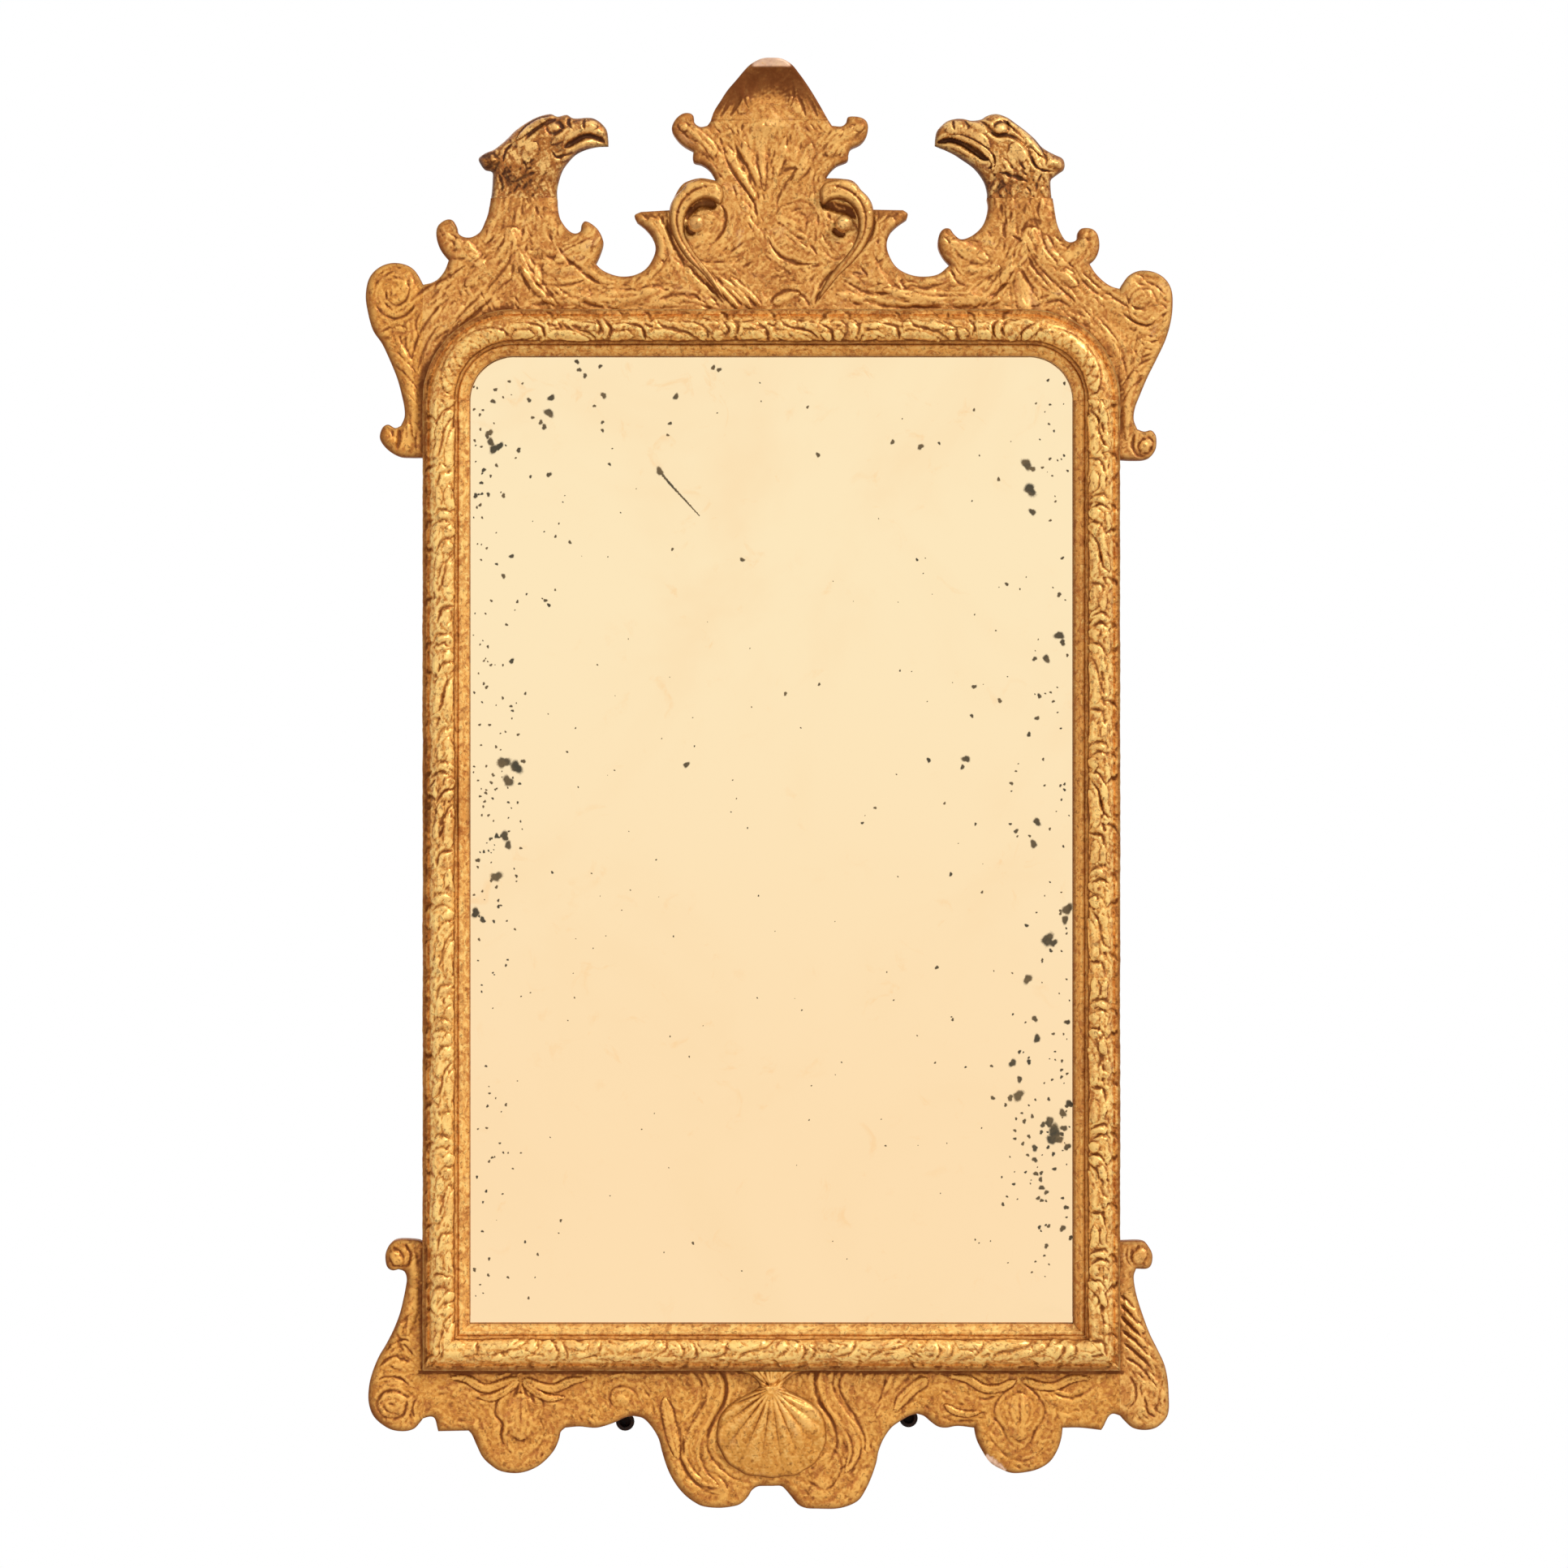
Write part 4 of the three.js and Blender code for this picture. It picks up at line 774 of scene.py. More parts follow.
def swellNeck(relief):
    # the eagles' necks stand a little proud of the board where the heads are joined on
    n = neckSwell
    rise = smoothstep(relief.z, n["low"], n["join"])
    across = np.clip(1 - ((np.abs(relief.x) - n["middle"]) / n["half"]) ** 2, 0, 1)
    relief.h += n["height"] * rise * np.sqrt(across)
    return rise * (across > 0)


crest = {
    "spacing": 1.1,
    "cornerRadius": 78.3, "halfWidth": 298.98,
    "edgeRadius": 2.2, "edgeDrop": 1.8, "strength": 0.72,
    # outline from the middle outwards
    "right": stretchesOf("""
        curve 0,1243.98 9,1243.2 17,1239 24,1231 30,1223 36,1214 42,1204 47,1195 52,1187.5
        curve 52,1187.5 60,1187 64,1190 66,1195 75,1195 81,1192 83,1186 81,1178 76,1172 68,1168 66,1163
        curve 66,1163 65,1157.5 56,1153.5 50,1148 46.5,1142.5
        curve 46.5,1142.5 60,1142 70,1140 77,1132 82,1124 85,1115.5
        curve 85,1115.5 113,1115
        curve 113,1115 117,1112 116,1107.5
        curve 116,1107.5 107,1101 101,1094 99,1084 102,1074 108,1065.5 118,1060 130,1058 143,1060 153,1068
        curve 153,1068 147,1075 143,1084 144,1094 148,1099 153,1099 157,1094 163,1090 172,1093 180,1100
            184,1108 186,1118 185,1125.2
        joint 185,1125.2 241.5,1125.2
        curve 241.5,1125.2 243,1115 245,1104 248,1096 252,1089.5 257,1087.5 262,1090 263,1096 267,1099.5
            275,1099 280,1094 281.5,1084 279,1075 273,1069
        curve 273,1069 278,1061 285,1054 292,1049.5 298.98,1047.5
    """),
    "left": stretchesOf("""
        curve 0,1243.98 8,1243.4 16,1240 22,1235 30,1226 38,1217 44,1208 49,1200 52,1192 55,1187.5
        curve 55,1187.5 61,1186.5 66,1190 67,1196 71,1198.4 77,1197.5 83,1192 85.5,1184 81,1176 75,1170.5
            67,1166
        curve 67,1166 67,1157 60,1154.5 53,1149.5 47.5,1140.5
        curve 47.5,1140.5 60,1142.5 70,1140.5 77,1136.5 83,1127 87.5,1115
        curve 87.5,1115 112,1113.5
        curve 112,1113.5 117.5,1110.5 115.5,1105
        curve 115.5,1105 108,1099 102,1091 99.5,1082 102,1073 108,1064.5 117,1059.5 127,1058 136,1059.5
            145,1063.5 151,1069
        curve 151,1069 147,1078 144.5,1088 148,1097 154,1103 160,1105.5 163,1102 164,1097 169,1095
            175,1098.5 181,1107 183.5,1116 184,1125.2
        joint 184,1125.2 241,1125.2
        curve 241,1125.2 243,1113 246,1104.5 250,1096.5 257,1092 264,1092 269,1095.5 270.5,1101.5
            274,1106.5 280,1106.5 286.5,1101 287.5,1092 284,1081 277,1072
        curve 277,1072 280,1064 285,1057 291,1053 298.98,1051
    """),
    # patches laid in with tones, partly painted shade and painted highlight
    "spots": numbersOf("""
        -213,1124,20,0.2 213,1124,20,0.16 -5,1190,13,-0.4 15,1149,5,0.35 29,1099,12,0.12 8,1056,13,0.14
        -9,1138,5,0.2 105,1112,6,0.4 93,1112,6,0.35 -106,1112,6,0.4 -94,1112,6,0.35 -80,1184,8,0.3
        84,1182,8,0.2 -24,1192,6,0.2 34,1186,7,0.15 57,1171,5,-0.35 186,1088,4,-0.5 270,1075,5,-0.35
        217,1041,8,-0.35 227,1105,4,0.4 216,1117,4,0.3 199,1094,4,0.35 212,1090,4,0.35 223,1071,5,0.3
        231,1058,5,0.3 198,1118,7,0.2 208,1098,6,-0.3 -160,1077,5,-0.4 -157,1096,4,-0.4 -98,1090,5,-0.4
        -98,1038,5,-0.4 -240,1105,4,-0.4 -222,1034,10,0.22 -212,1104,6,-0.3 88,1036,6,-0.35 106,1040,7,-0.3
        74,1060,8,0.2 -27,1058,9,0.15 -52,1085,9,-0.15 -30,1047,9,-0.25 10,1037,7,-0.25 -10,1168,7,-0.25
        6,1170,5,-0.2 52,1163,6,0.2 -56,1163,7,0.25
    """),
    # cut across the joints between the crest and the upper ears
    "shared": strokesOf("""
        line 1.6 1.2 0.3 0.3 -262,1068 -280,1056 -298,1047 -312,1034
        line 1.5 1.0 0.3 0.3 -276,1040 -292,1024 -303,1006 -309,986
        line 1.5 0.9 0.3 0.3 -285,1018 -297,998 -304,976
        line 1.5 1.1 0.3 0.3 266,1062 282,1048 298,1037 311,1029
        line 1.5 0.9 0.3 0.3 280,1024 296,1004 306,984
        line 1.4 0.8 0.3 0.3 290,1008 301,990 306,968
        line 2.0 1.7 0.2 0.5 -268,1014 -254,1027 -237,1041
    """),
    # carved on both halves, and drawn on the right one
    "both": strokesOf("""
        mound 10 1.6 72,1186 60,1177 48,1162
        line 1.5 0.9 0.3 0.4 79,1184 70,1177 60,1171 52,1160
        line 1.4 0.8 0.3 0.4 64,1186 56,1180 48,1172 42,1162
        bead 3.4 1.4 0 0 76,1188 75,1186
        mound 9 1.6 104,1108 96,1092 92,1072
        line 2.4 1.1 0.3 0.3 108,1109 98,1101 93,1091 91,1078 94,1066 102,1058
        mound 8 1.8 196,1038 160,1039 124,1040 96,1047
        mound 11 2.2 222,1100 214,1074 198,1052
        mound 11 2.2 224,1100 236,1074 262,1050
        mound 8 1.6 270,1090 260,1078 246,1068
        mound 8 1.6 154,1088 168,1080 186,1072
        guide 0 0 213,1120 214,1090 222,1068 245,1045 285,1008
        guide 0 0 205,1104 196,1076 176,1054 140,1044 90,1044
        guide 0 0 225,1112 235,1086 262,1062 294,1022
        guide 0 0 196,1120 196,1100
        guide 0 0 270,1092 258,1074 240,1056
        guide 0 0 150,1092 162,1076 184,1062
        guide 0 0 20,1182 16,1150 8,1118
        guide 0 0 44,1170 36,1148 30,1128
        guide 0 0 108,1108 98,1092 96,1070 110,1052
        line 1.3 0.7 0.4 0.5 200,1122 201,1110 203,1100
        line 1.3 0.6 0.4 0.5 224,1123 224,1112 226,1102
    """),
    "middleLeft": strokesOf("""
        dig 5.5 4.2 0.1 0.3 -47,1118 -55,1120.5 -63,1119 -69,1114 -73,1106
        dig 3.4 3.0 0.2 0.2 -72,1102 -70,1097 -65,1095
        mound 15 2.4 0 0 -8,1188 -10,1180
        mound 4.5 1.7 0.2 0.4 -36,1168 -30,1152 -21,1136 -13,1124
        mound 4.5 1.5 0.2 0.4 -24,1174 -20,1160 -14,1146 -9,1134
        mound 4 1.3 0.3 0.4 -8,1176 -8,1156 -6,1136
        line 1.7 1.6 0.3 0.3 -32,1176 -29,1165 -22,1154 -17,1144 -13,1134
        line 1.7 1.7 0.3 0.25 -41,1166 -35,1151 -26,1139 -19,1129 -14,1119 -11,1110
        line 1.4 0.8 0.4 0.4 -15,1184 -14,1170 -11,1154 -8,1142
        line 1.4 0.7 0.4 0.4 -2,1180 -3,1162 -4,1146
        ledge 7 1.5 0.2 0.3 -42,1121 -38,1112 -39,1100 -45,1090 -54,1081
        line 1.6 1.3 0.2 0.4 -44,1120 -39,1112 -40,1100 -46,1090 -54,1081 -62,1074
        ledge 7 1.4 0.3 0.3 -21,1080 -33,1071 -48,1069 -62,1071 -72,1078
        line 1.5 1.1 0.4 0.3 -20,1081 -32,1071 -48,1068 -62,1070
        mound 16 1.4 0 0 -56,1092 -52,1088
        line 2.0 2.2 0.1 0.15 -90,1108 -87,1094 -82,1082 -74,1070 -64,1060 -55,1051 -47,1042 -40,1034
        line 1.4 1.1 0.3 0.2 -58,1060 -49,1050 -40,1040 -34,1033
        mound 3.2 1.8 0.2 0.2 -44,1057 -34,1047 -24,1038 -17,1031
        mound 3.0 1.6 0.2 0.2 -52,1056 -42,1046 -33,1037 -28,1031
        mound 3.0 1.6 0.2 0.2 -35,1057 -26,1050 -16,1041 -9,1032
        line 1.4 1.3 0.3 0.2 -49,1059 -39,1051 -28,1042 -19,1034
        line 1.4 1.3 0.3 0.2 -40,1049 -32,1041 -25,1033
        line 1.4 1.2 0.3 0.2 -36,1060 -27,1052 -16,1043 -10,1036
        line 1.8 1.6 0.3 0.3 -98,1038 -86,1042 -74,1043 -64,1040 -56,1035
        line 1.5 0.9 0.3 0.3 -112,1048 -98,1051 -84,1052
    """),
    "middleRight": strokesOf("""
        dig 5.5 4.4 0.1 0.3 42,1121 50,1119 58,1116.5 66,1114 73,1107
        dig 3.4 3.0 0.2 0.2 53,1100 57,1095 64,1094
        mound 6 1.5 0.2 0.4 34,1172 28,1154 18,1138
        mound 4 1.3 0.3 0.4 12,1178 8,1160 3,1142
        line 1.8 1.8 22,1151 18,1144 11,1137 7,1128 4,1117
        line 1.6 1.1 0.2 0.5 24,1150 17,1151 9,1148
        line 1.5 0.8 0.3 0.4 24,1186 33,1176 39,1164
        line 1.5 1.0 0.4 0.2 38,1150 36,1138 38,1128 40,1120
        line 1.4 0.7 0.4 0.4 12,1182 9,1168 5,1154
        mound 21 2.0 0 0 20,1096 26,1092
        ledge 8 1.5 0.3 0.3 36,1068 24,1067 12,1071 3,1079 -3,1090
        line 1.7 1.4 0.3 0.3 -3,1092 2,1080 11,1073 23,1069 36,1069
        line 1.3 0.7 0.3 0.3 12,1120 26,1123 37,1117 41,1104 38,1090
        line 1.4 0.8 0.3 0.3 44,1082 52,1074 62,1073
        line 1.8 1.8 0.1 0.4 37,1034 41,1045 46,1055 55,1064 65,1071 74,1080
        line 1.6 1.4 88,1110 87,1097 81,1086 72,1076 60,1066
        mound 5 2.0 0.1 0.3 2,1035 12,1039 24,1044
        line 1.5 1.3 -2,1034 4,1042 14,1046 26,1044
        line 1.4 1.1 0.3 0.2 24,1044 30,1038 33,1032
        line 1.7 1.5 0.2 0.4 60,1056 70,1050 80,1045 92,1043 106,1044
        line 2.0 2.0 0.2 0.4 74,1038 84,1036 98,1033 116,1031 134,1031 150,1031
        mound 4 1.2 56,1044 72,1041 90,1039
    """),
    "wingLeft": strokesOf("""
        ledge 7 1.4 0.2 0.4 -184,1033 -192,1044 -202,1057 -210,1068 -218,1084
        line 1.7 1.6 0.3 0.3 -219,1069 -214,1059 -210,1052 -207,1044
        line 1.8 1.8 0.3 0.2 -209,1069 -203,1056 -196,1048 -189,1041 -182,1034
        mound 3 1.6 0.2 0.2 -214,1066 -207,1054 -198,1044 -190,1035
        line 1.5 1.3 0.3 0.3 -201,1058 -193,1049 -186,1041
        line 1.6 1.2 0.3 0.4 -228,1100 -231,1086 -238,1076 -250,1066
        line 1.6 1.1 0.3 0.4 -222,1088 -226,1068 -242,1049 -260,1032 -276,1014
        line 1.5 0.8 0.3 0.3 -222,1070 -222,1060
        line 1.6 1.3 0.3 0.3 -203,1120 -200,1113 -196,1107
        line 1.6 1.3 0.3 0.3 -194,1102 -191,1095 -189,1088
        line 2.4 1.8 0.2 0.2 -202,1077 -192,1075 -181,1073
        line 1.7 1.3 0.3 0.3 -185,1087 -179,1077 -170,1068 -160,1061 -150,1054 -138,1050
        line 1.8 1.6 0.3 0.3 -163,1062 -155,1056 -146,1051
        line 1.5 1.1 0.3 0.3 -200,1052 -182,1050 -166,1053 -158,1057
        line 1.8 1.6 -184,1049 -175,1043 -165,1038 -152,1033 -136,1031
        line 1.5 1.0 0.3 0.3 -142,1040 -128,1041 -112,1042
        line 2.0 1.5 0.3 0.3 -106,1032 -92,1031 -78,1032
        line 1.4 0.9 0.3 0.3 -262,1060 -263,1050 -259,1040
        line 1.6 1.2 0.3 0.3 -277,1070 -277,1062 -275,1055
        line 1.5 1.0 0.3 0.3 -278,1074 -270,1073 -260,1074
        line 1.4 0.9 0.3 0.3 -250,1047 -245,1037 -240,1028
        mound 6 1.3 -196,1066 -182,1063 -168,1066
    """),
    "wingRight": strokesOf("""
        ledge 8 1.4 0.1 0.4 178,1031 188,1039 196,1048 203,1057 209,1068
        line 2.1 2.1 0.3 0.1 209,1064 203,1056 198,1050 191,1043 183,1036 176,1032
        mound 7 2.4 0.4 0 212,1062 215,1046 218,1031
        line 1.6 1.2 0.3 0.3 214,1066 219,1056 225,1047 230,1036
        line 1.7 1.3 0.3 0.3 220,1076 225,1066 232,1056 241,1047
        line 1.7 1.4 0.3 0.3 231,1098 234,1087 238,1078 246,1069
        line 1.7 1.3 0.3 0.2 260,1066 268,1054 279,1044 294,1038
        line 1.5 1.2 0.2 0.4 154,1062 160,1053 170,1049
        line 1.8 1.5 0.3 0.3 202,1108 200,1100 201,1090
        line 1.5 1.2 0.3 0.3 209,1091 216,1088
        line 1.8 1.1 0.2 0.2 221,1107 227,1106 233,1104
        line 1.8 1.3 0.3 0.3 118,1051 132,1049 148,1052
        line 1.6 1.3 0.3 0.3 122,1045 134,1042 148,1041 164,1042
        line 1.5 1.0 0.3 0.3 232,1034 244,1038 254,1034
        line 1.4 0.9 0.3 0.3 218,1100 214,1090 208,1082
        line 1.4 1.0 0.4 0.4 216,1090 228,1068 246,1050 266,1032 284,1012
        mound 6 1.3 196,1066 182,1063 168,1066
    """),
}


def onSide(stretches, side):
    # outlines are drawn on the right, and side -1 turns them over to the left
    turned = []
    for stretch in stretches:
        butts = stretch[0] == "joint"
        points = [(side * x, z) for x, z in (stretch[1] if butts else stretch)]
        turned.append(joint(*points) if butts else points)
    return turned


def boardStretches(left, right, closing):
    # the left half, turned over, is run backwards
    turned = [joint(*s[1][::-1]) if s[0] == "joint" else s[::-1] for s in reversed(onSide(left, -1))]
    return turned + right + closing


def crestStretches():
    c = crest
    start = math.acos((c["halfWidth"] - cornerX) / c["cornerRadius"])
    corner = [(cornerX + c["cornerRadius"] * math.cos(turn), cornerZ + c["cornerRadius"] * math.sin(turn))
              for turn in np.linspace(start, math.pi / 2, 17)]
    mirror = [(-x, z) for x, z in reversed(corner)]
    under = [joint(c["right"][-1][-1], corner[0]), joint(*corner), joint(corner[-1], mirror[0]),
             joint(*mirror), joint(mirror[-1], (-c["left"][-1][-1][0], c["left"][-1][-1][1]))]
    return boardStretches(c["left"], c["right"], under)


def makeCrest():
    c = crest
    relief = Relief(crestStretches(), c["spacing"])
    carveAll(relief, c["both"], (1, -1), c["strength"])
    for side in ("middleLeft", "middleRight", "wingLeft", "wingRight"):
        carveAll(relief, c[side], (1,), c["strength"])
    comb(relief, 1500, 25, 0.6, 18)
    for stroke in crest["shared"]:
        carve(relief, *stroke)
    handWork(relief, 21)
    plumed = smoothstep(relief.z, 1166, 1188)
    calm = 1 - 0.9 * smoothstep(relief.z, 1186, 1191)
    relief.h = relief.h * (1 - plumed + plumed * calm) + plumed * plumeForm(relief.x, relief.z)
    shade = hollowOf(relief.h, relief.links) + plumeShade(relief.x, relief.z)
    shade += tones(relief.x, relief.z, c["spots"]) + jointShade(relief.x, relief.z)
    relief.h = np.where(relief.z > 1194.6, np.minimum(relief.h, 0.1), relief.h)
    necked = swellNeck(relief)
    radius = c["edgeRadius"] + (neckSwell["radius"] - c["edgeRadius"]) * necked
    roundRim(relief, radius, c["edgeDrop"] + 1.6 * necked)
    under = smoothstep(relief.z, 1120, 1126) * necked
    relief.h -= 0.2 * under
    carvedBoard("crestCarving", relief, boardFront, boardBack, gilt["carvedGilt"], ["crest_board"],
                shade=shade)


makeCrest()


ears = {
    "spacing": 1.15,
    "edgeRadius": 2.2, "edgeDrop": 1.8,
    "upperLeft": {
        "side": -1, "seed": 31,
        "outline": stretchesOf("""
            curve 299.02,1051 306,1063 315,1068.5 327,1069.5 338,1065 345.5,1056 348.2,1042 346.5,1028
                342,1012 334,1000 327,985 321,970 317,955 315,945 315,937 318,930
            curve 318,930 323,928 329,931 334,928 336,919 330,910 320,904 310,903 299.02,903
            joint 299.02,903 299.02,1051
        """),
        "strokes": strokesOf("""
            mound 22 1.6 0 0 322,1044 321,1040
            ledge 6 0.5 0.1 0.1 304,1050 307,1034 318,1024 332,1026 339,1038 337,1052 326,1060 314,1055
                313,1042 322,1036 330,1043
            line 1.5 0.6 305,1034 312,1026 324,1022 334,1028 340,1038
            line 1.2 0.8 0.2 0.2 310,1048 313,1038 321,1033 329,1038 330,1047
            line 1.2 0.8 0.3 0.3 301,1028 305,1018 303,1006
            line 1.2 0.8 0.3 0.3 336,1010 326,1014 316,1012
            line 1.2 0.9 0.2 0.4 330,996 320,992 310,982 302,972
            line 1.2 0.8 0.2 0.4 324,982 314,974 304,962
            line 1.1 0.7 0.2 0.4 319,966 310,956 302,946
            mound 5 1.2 318,1000 312,980 308,950 306,920
            mound 7 1.8 0 0 328,919 327,917
            line 1.6 1.6 0.1 0.2 320,929 319,920 321,909
            mound 4.5 1.4 0.2 0.2 312,932 312,908
            line 1.2 0.6 0.2 0.2 306,930 305,908
        """),
        "spots": [(-328, 919, 6, 0.4), (-313, 916, 6, -0.4), (-325, 1062, 8, 0.2)]},
    "upperRight": {
        "side": 1, "seed": 37,
        "outline": stretchesOf("""
            curve 299.02,1048 302,1053 307,1059 316,1063 328,1062 338,1056 343.5,1046 344.3,1032 342.5,1018
                338,1003 331,988 323,972 317,958 312,945 311,935 314,927
            curve 314,927 320,925 326,926 330,921 330,911 326,904 320,901 310,900.5 299.02,901
            joint 299.02,901 299.02,1048
        """),
        "strokes": strokesOf("""
            mound 20 1.6 0 0 321,1038 320,1034
            ledge 6 0.9 0.1 0.2 330,1038 324,1046 312,1044 307,1032 312,1021 325,1017 336,1024
            line 1.4 1.2 300,1028 306,1023 314,1018 324,1017 332,1022
            line 1.2 0.9 320,1054 330,1050 338,1042
            line 1.2 0.8 0.2 0.2 304,1044 308,1034 316,1030 324,1034
            line 1.2 0.9 0.3 0.3 336,1008 328,1002 318,1004
            line 1.2 0.9 0.2 0.4 328,988 318,984 308,974 301,964
            line 1.2 0.8 0.2 0.4 320,972 310,964 302,952
            mound 5 1.2 318,1000 312,976 306,946 305,918
            bead 4.5 2.2 0 0 322,914 320,911
            line 1.4 1.4 0.2 0.2 312,924 310,914 314,905 322,903
            line 1.2 0.9 0.2 0.2 318,920 324,914 328,908
        """)},
    "lowerLeft": {
        "side": -1, "seed": 41,
        "outline": stretchesOf("""
            curve 299.02,229 305,231 320,231.5 327,228 331,220 331,212 329,207 325,205 320,206
            curve 320,206 315,204 313,198 314,190 316,180 319,168 324,155 330,143 337,131 342,119 345,108
                346,95 344,85 340,78 333,72 325,68 315,67 307,69 302,74 299.02,78
            joint 299.02,78 299.02,229
        """),
        "strokes": strokesOf("""
            mound 12 1.8 0 0 326,90 324,89
            line 1.5 0.9 0 0 313,96 319,101 328,102 336,97 338,88 333,80 323,78 315,83 313,92
            line 1.3 0.3 0.1 0.2 319,92 324,96 331,93 331,86 324,84
            ledge 5 1.0 0.2 0.3 303,130 312,140 320,154 316,176
            line 1.3 1.1 332,134 325,142 315,146 306,142
            line 1.2 0.9 337,122 328,130 316,132 306,126
            line 1.2 0.9 340,110 330,114 318,112 308,104
            line 1.2 0.8 322,158 314,164 306,170
            mound 4 1.6 318,160 322,148 326,138
            mound 5 1.4 307,220 307,196 308,170 312,150
            bead 4.5 2.2 0 0 323,218 321,214
            line 1.3 1.2 0.2 0.2 314,228 310,220 312,210 320,208
            line 1.2 0.9 304,96 308,88 306,78
        """)},
    "lowerRight": {
        "side": 1, "seed": 43,
        "outline": stretchesOf("""
            curve 299.02,230 318,230 324,225 327,218 326,210 322,206.5 313,206.5
            curve 313,206.5 311,200 312,190 315,178 320,163 325,150 331,138 337,125 340,112 341,98 341,85
                338,77 330,70 320,68 310,70 303,76 299.02,80.5
            joint 299.02,80.5 299.02,230
        """),
        "strokes": strokesOf("""
            line 1.5 1.7 0.1 0.3 300,184 306,178 312,172
            line 1.5 1.8 0.1 0.3 300,176 307,168 315,158
            line 1.5 1.8 0.1 0.3 300,166 308,157 318,147
            line 1.5 1.7 0.1 0.3 301,154 309,147 319,137 325,130
            line 1.4 1.5 0.1 0.3 302,143 311,136 321,127 329,117
            line 1.3 1.2 0.1 0.4 304,130 314,124 325,113 333,102
            mound 3.4 2.0 303,180 310,171 317,161
            mound 3.4 2.0 303,170 311,161 320,152
            mound 3.4 1.8 304,158 312,150 322,140
            mound 3.4 1.6 305,147 314,140 326,128
            line 1.6 1.6 320,98 321,90 324,83 330,79
            line 1.2 1.0 306,116 312,106 312,94 306,86
            mound 12 1.6 0 0 318,92 318,88
            line 1.2 0.9 336,112 334,100 334,88
            bead 5 1.8 0 0 317,219 315,216
            line 1.2 1.0 0.2 0.2 306,226 305,216 309,208
        """)},
}


def makeEar(name, node):
    ear = ears[name]
    s = ear["side"]
    relief = Relief(onSide(ear["outline"], s), ears["spacing"])
    carveAll(relief, ear["strokes"], (s,))
    comb(relief, 110, ear["seed"] + 3, 0.6, 16)
    for stroke in crest["shared"]:
        carve(relief, *stroke)
    handWork(relief, 21)
    roundRim(relief, ears["edgeRadius"], ears["edgeDrop"])
    look = gilt["deepGilt" if s < 0 else "carvedGilt"]
    shade = hollowOf(relief.h, relief.links) + jointShade(relief.x, relief.z)
    shade += tones(relief.x, relief.z, ear.get("spots", []))
    carvedBoard(name + "Ear", relief, boardFront, boardBack, look, [node], shade=shade)


for name, node in (("upperLeft", "ear_upper_left"), ("upperRight", "ear_upper_right"),
                   ("lowerLeft", "ear_lower_left"), ("lowerRight", "ear_lower_right")):
    makeEar(name, node)


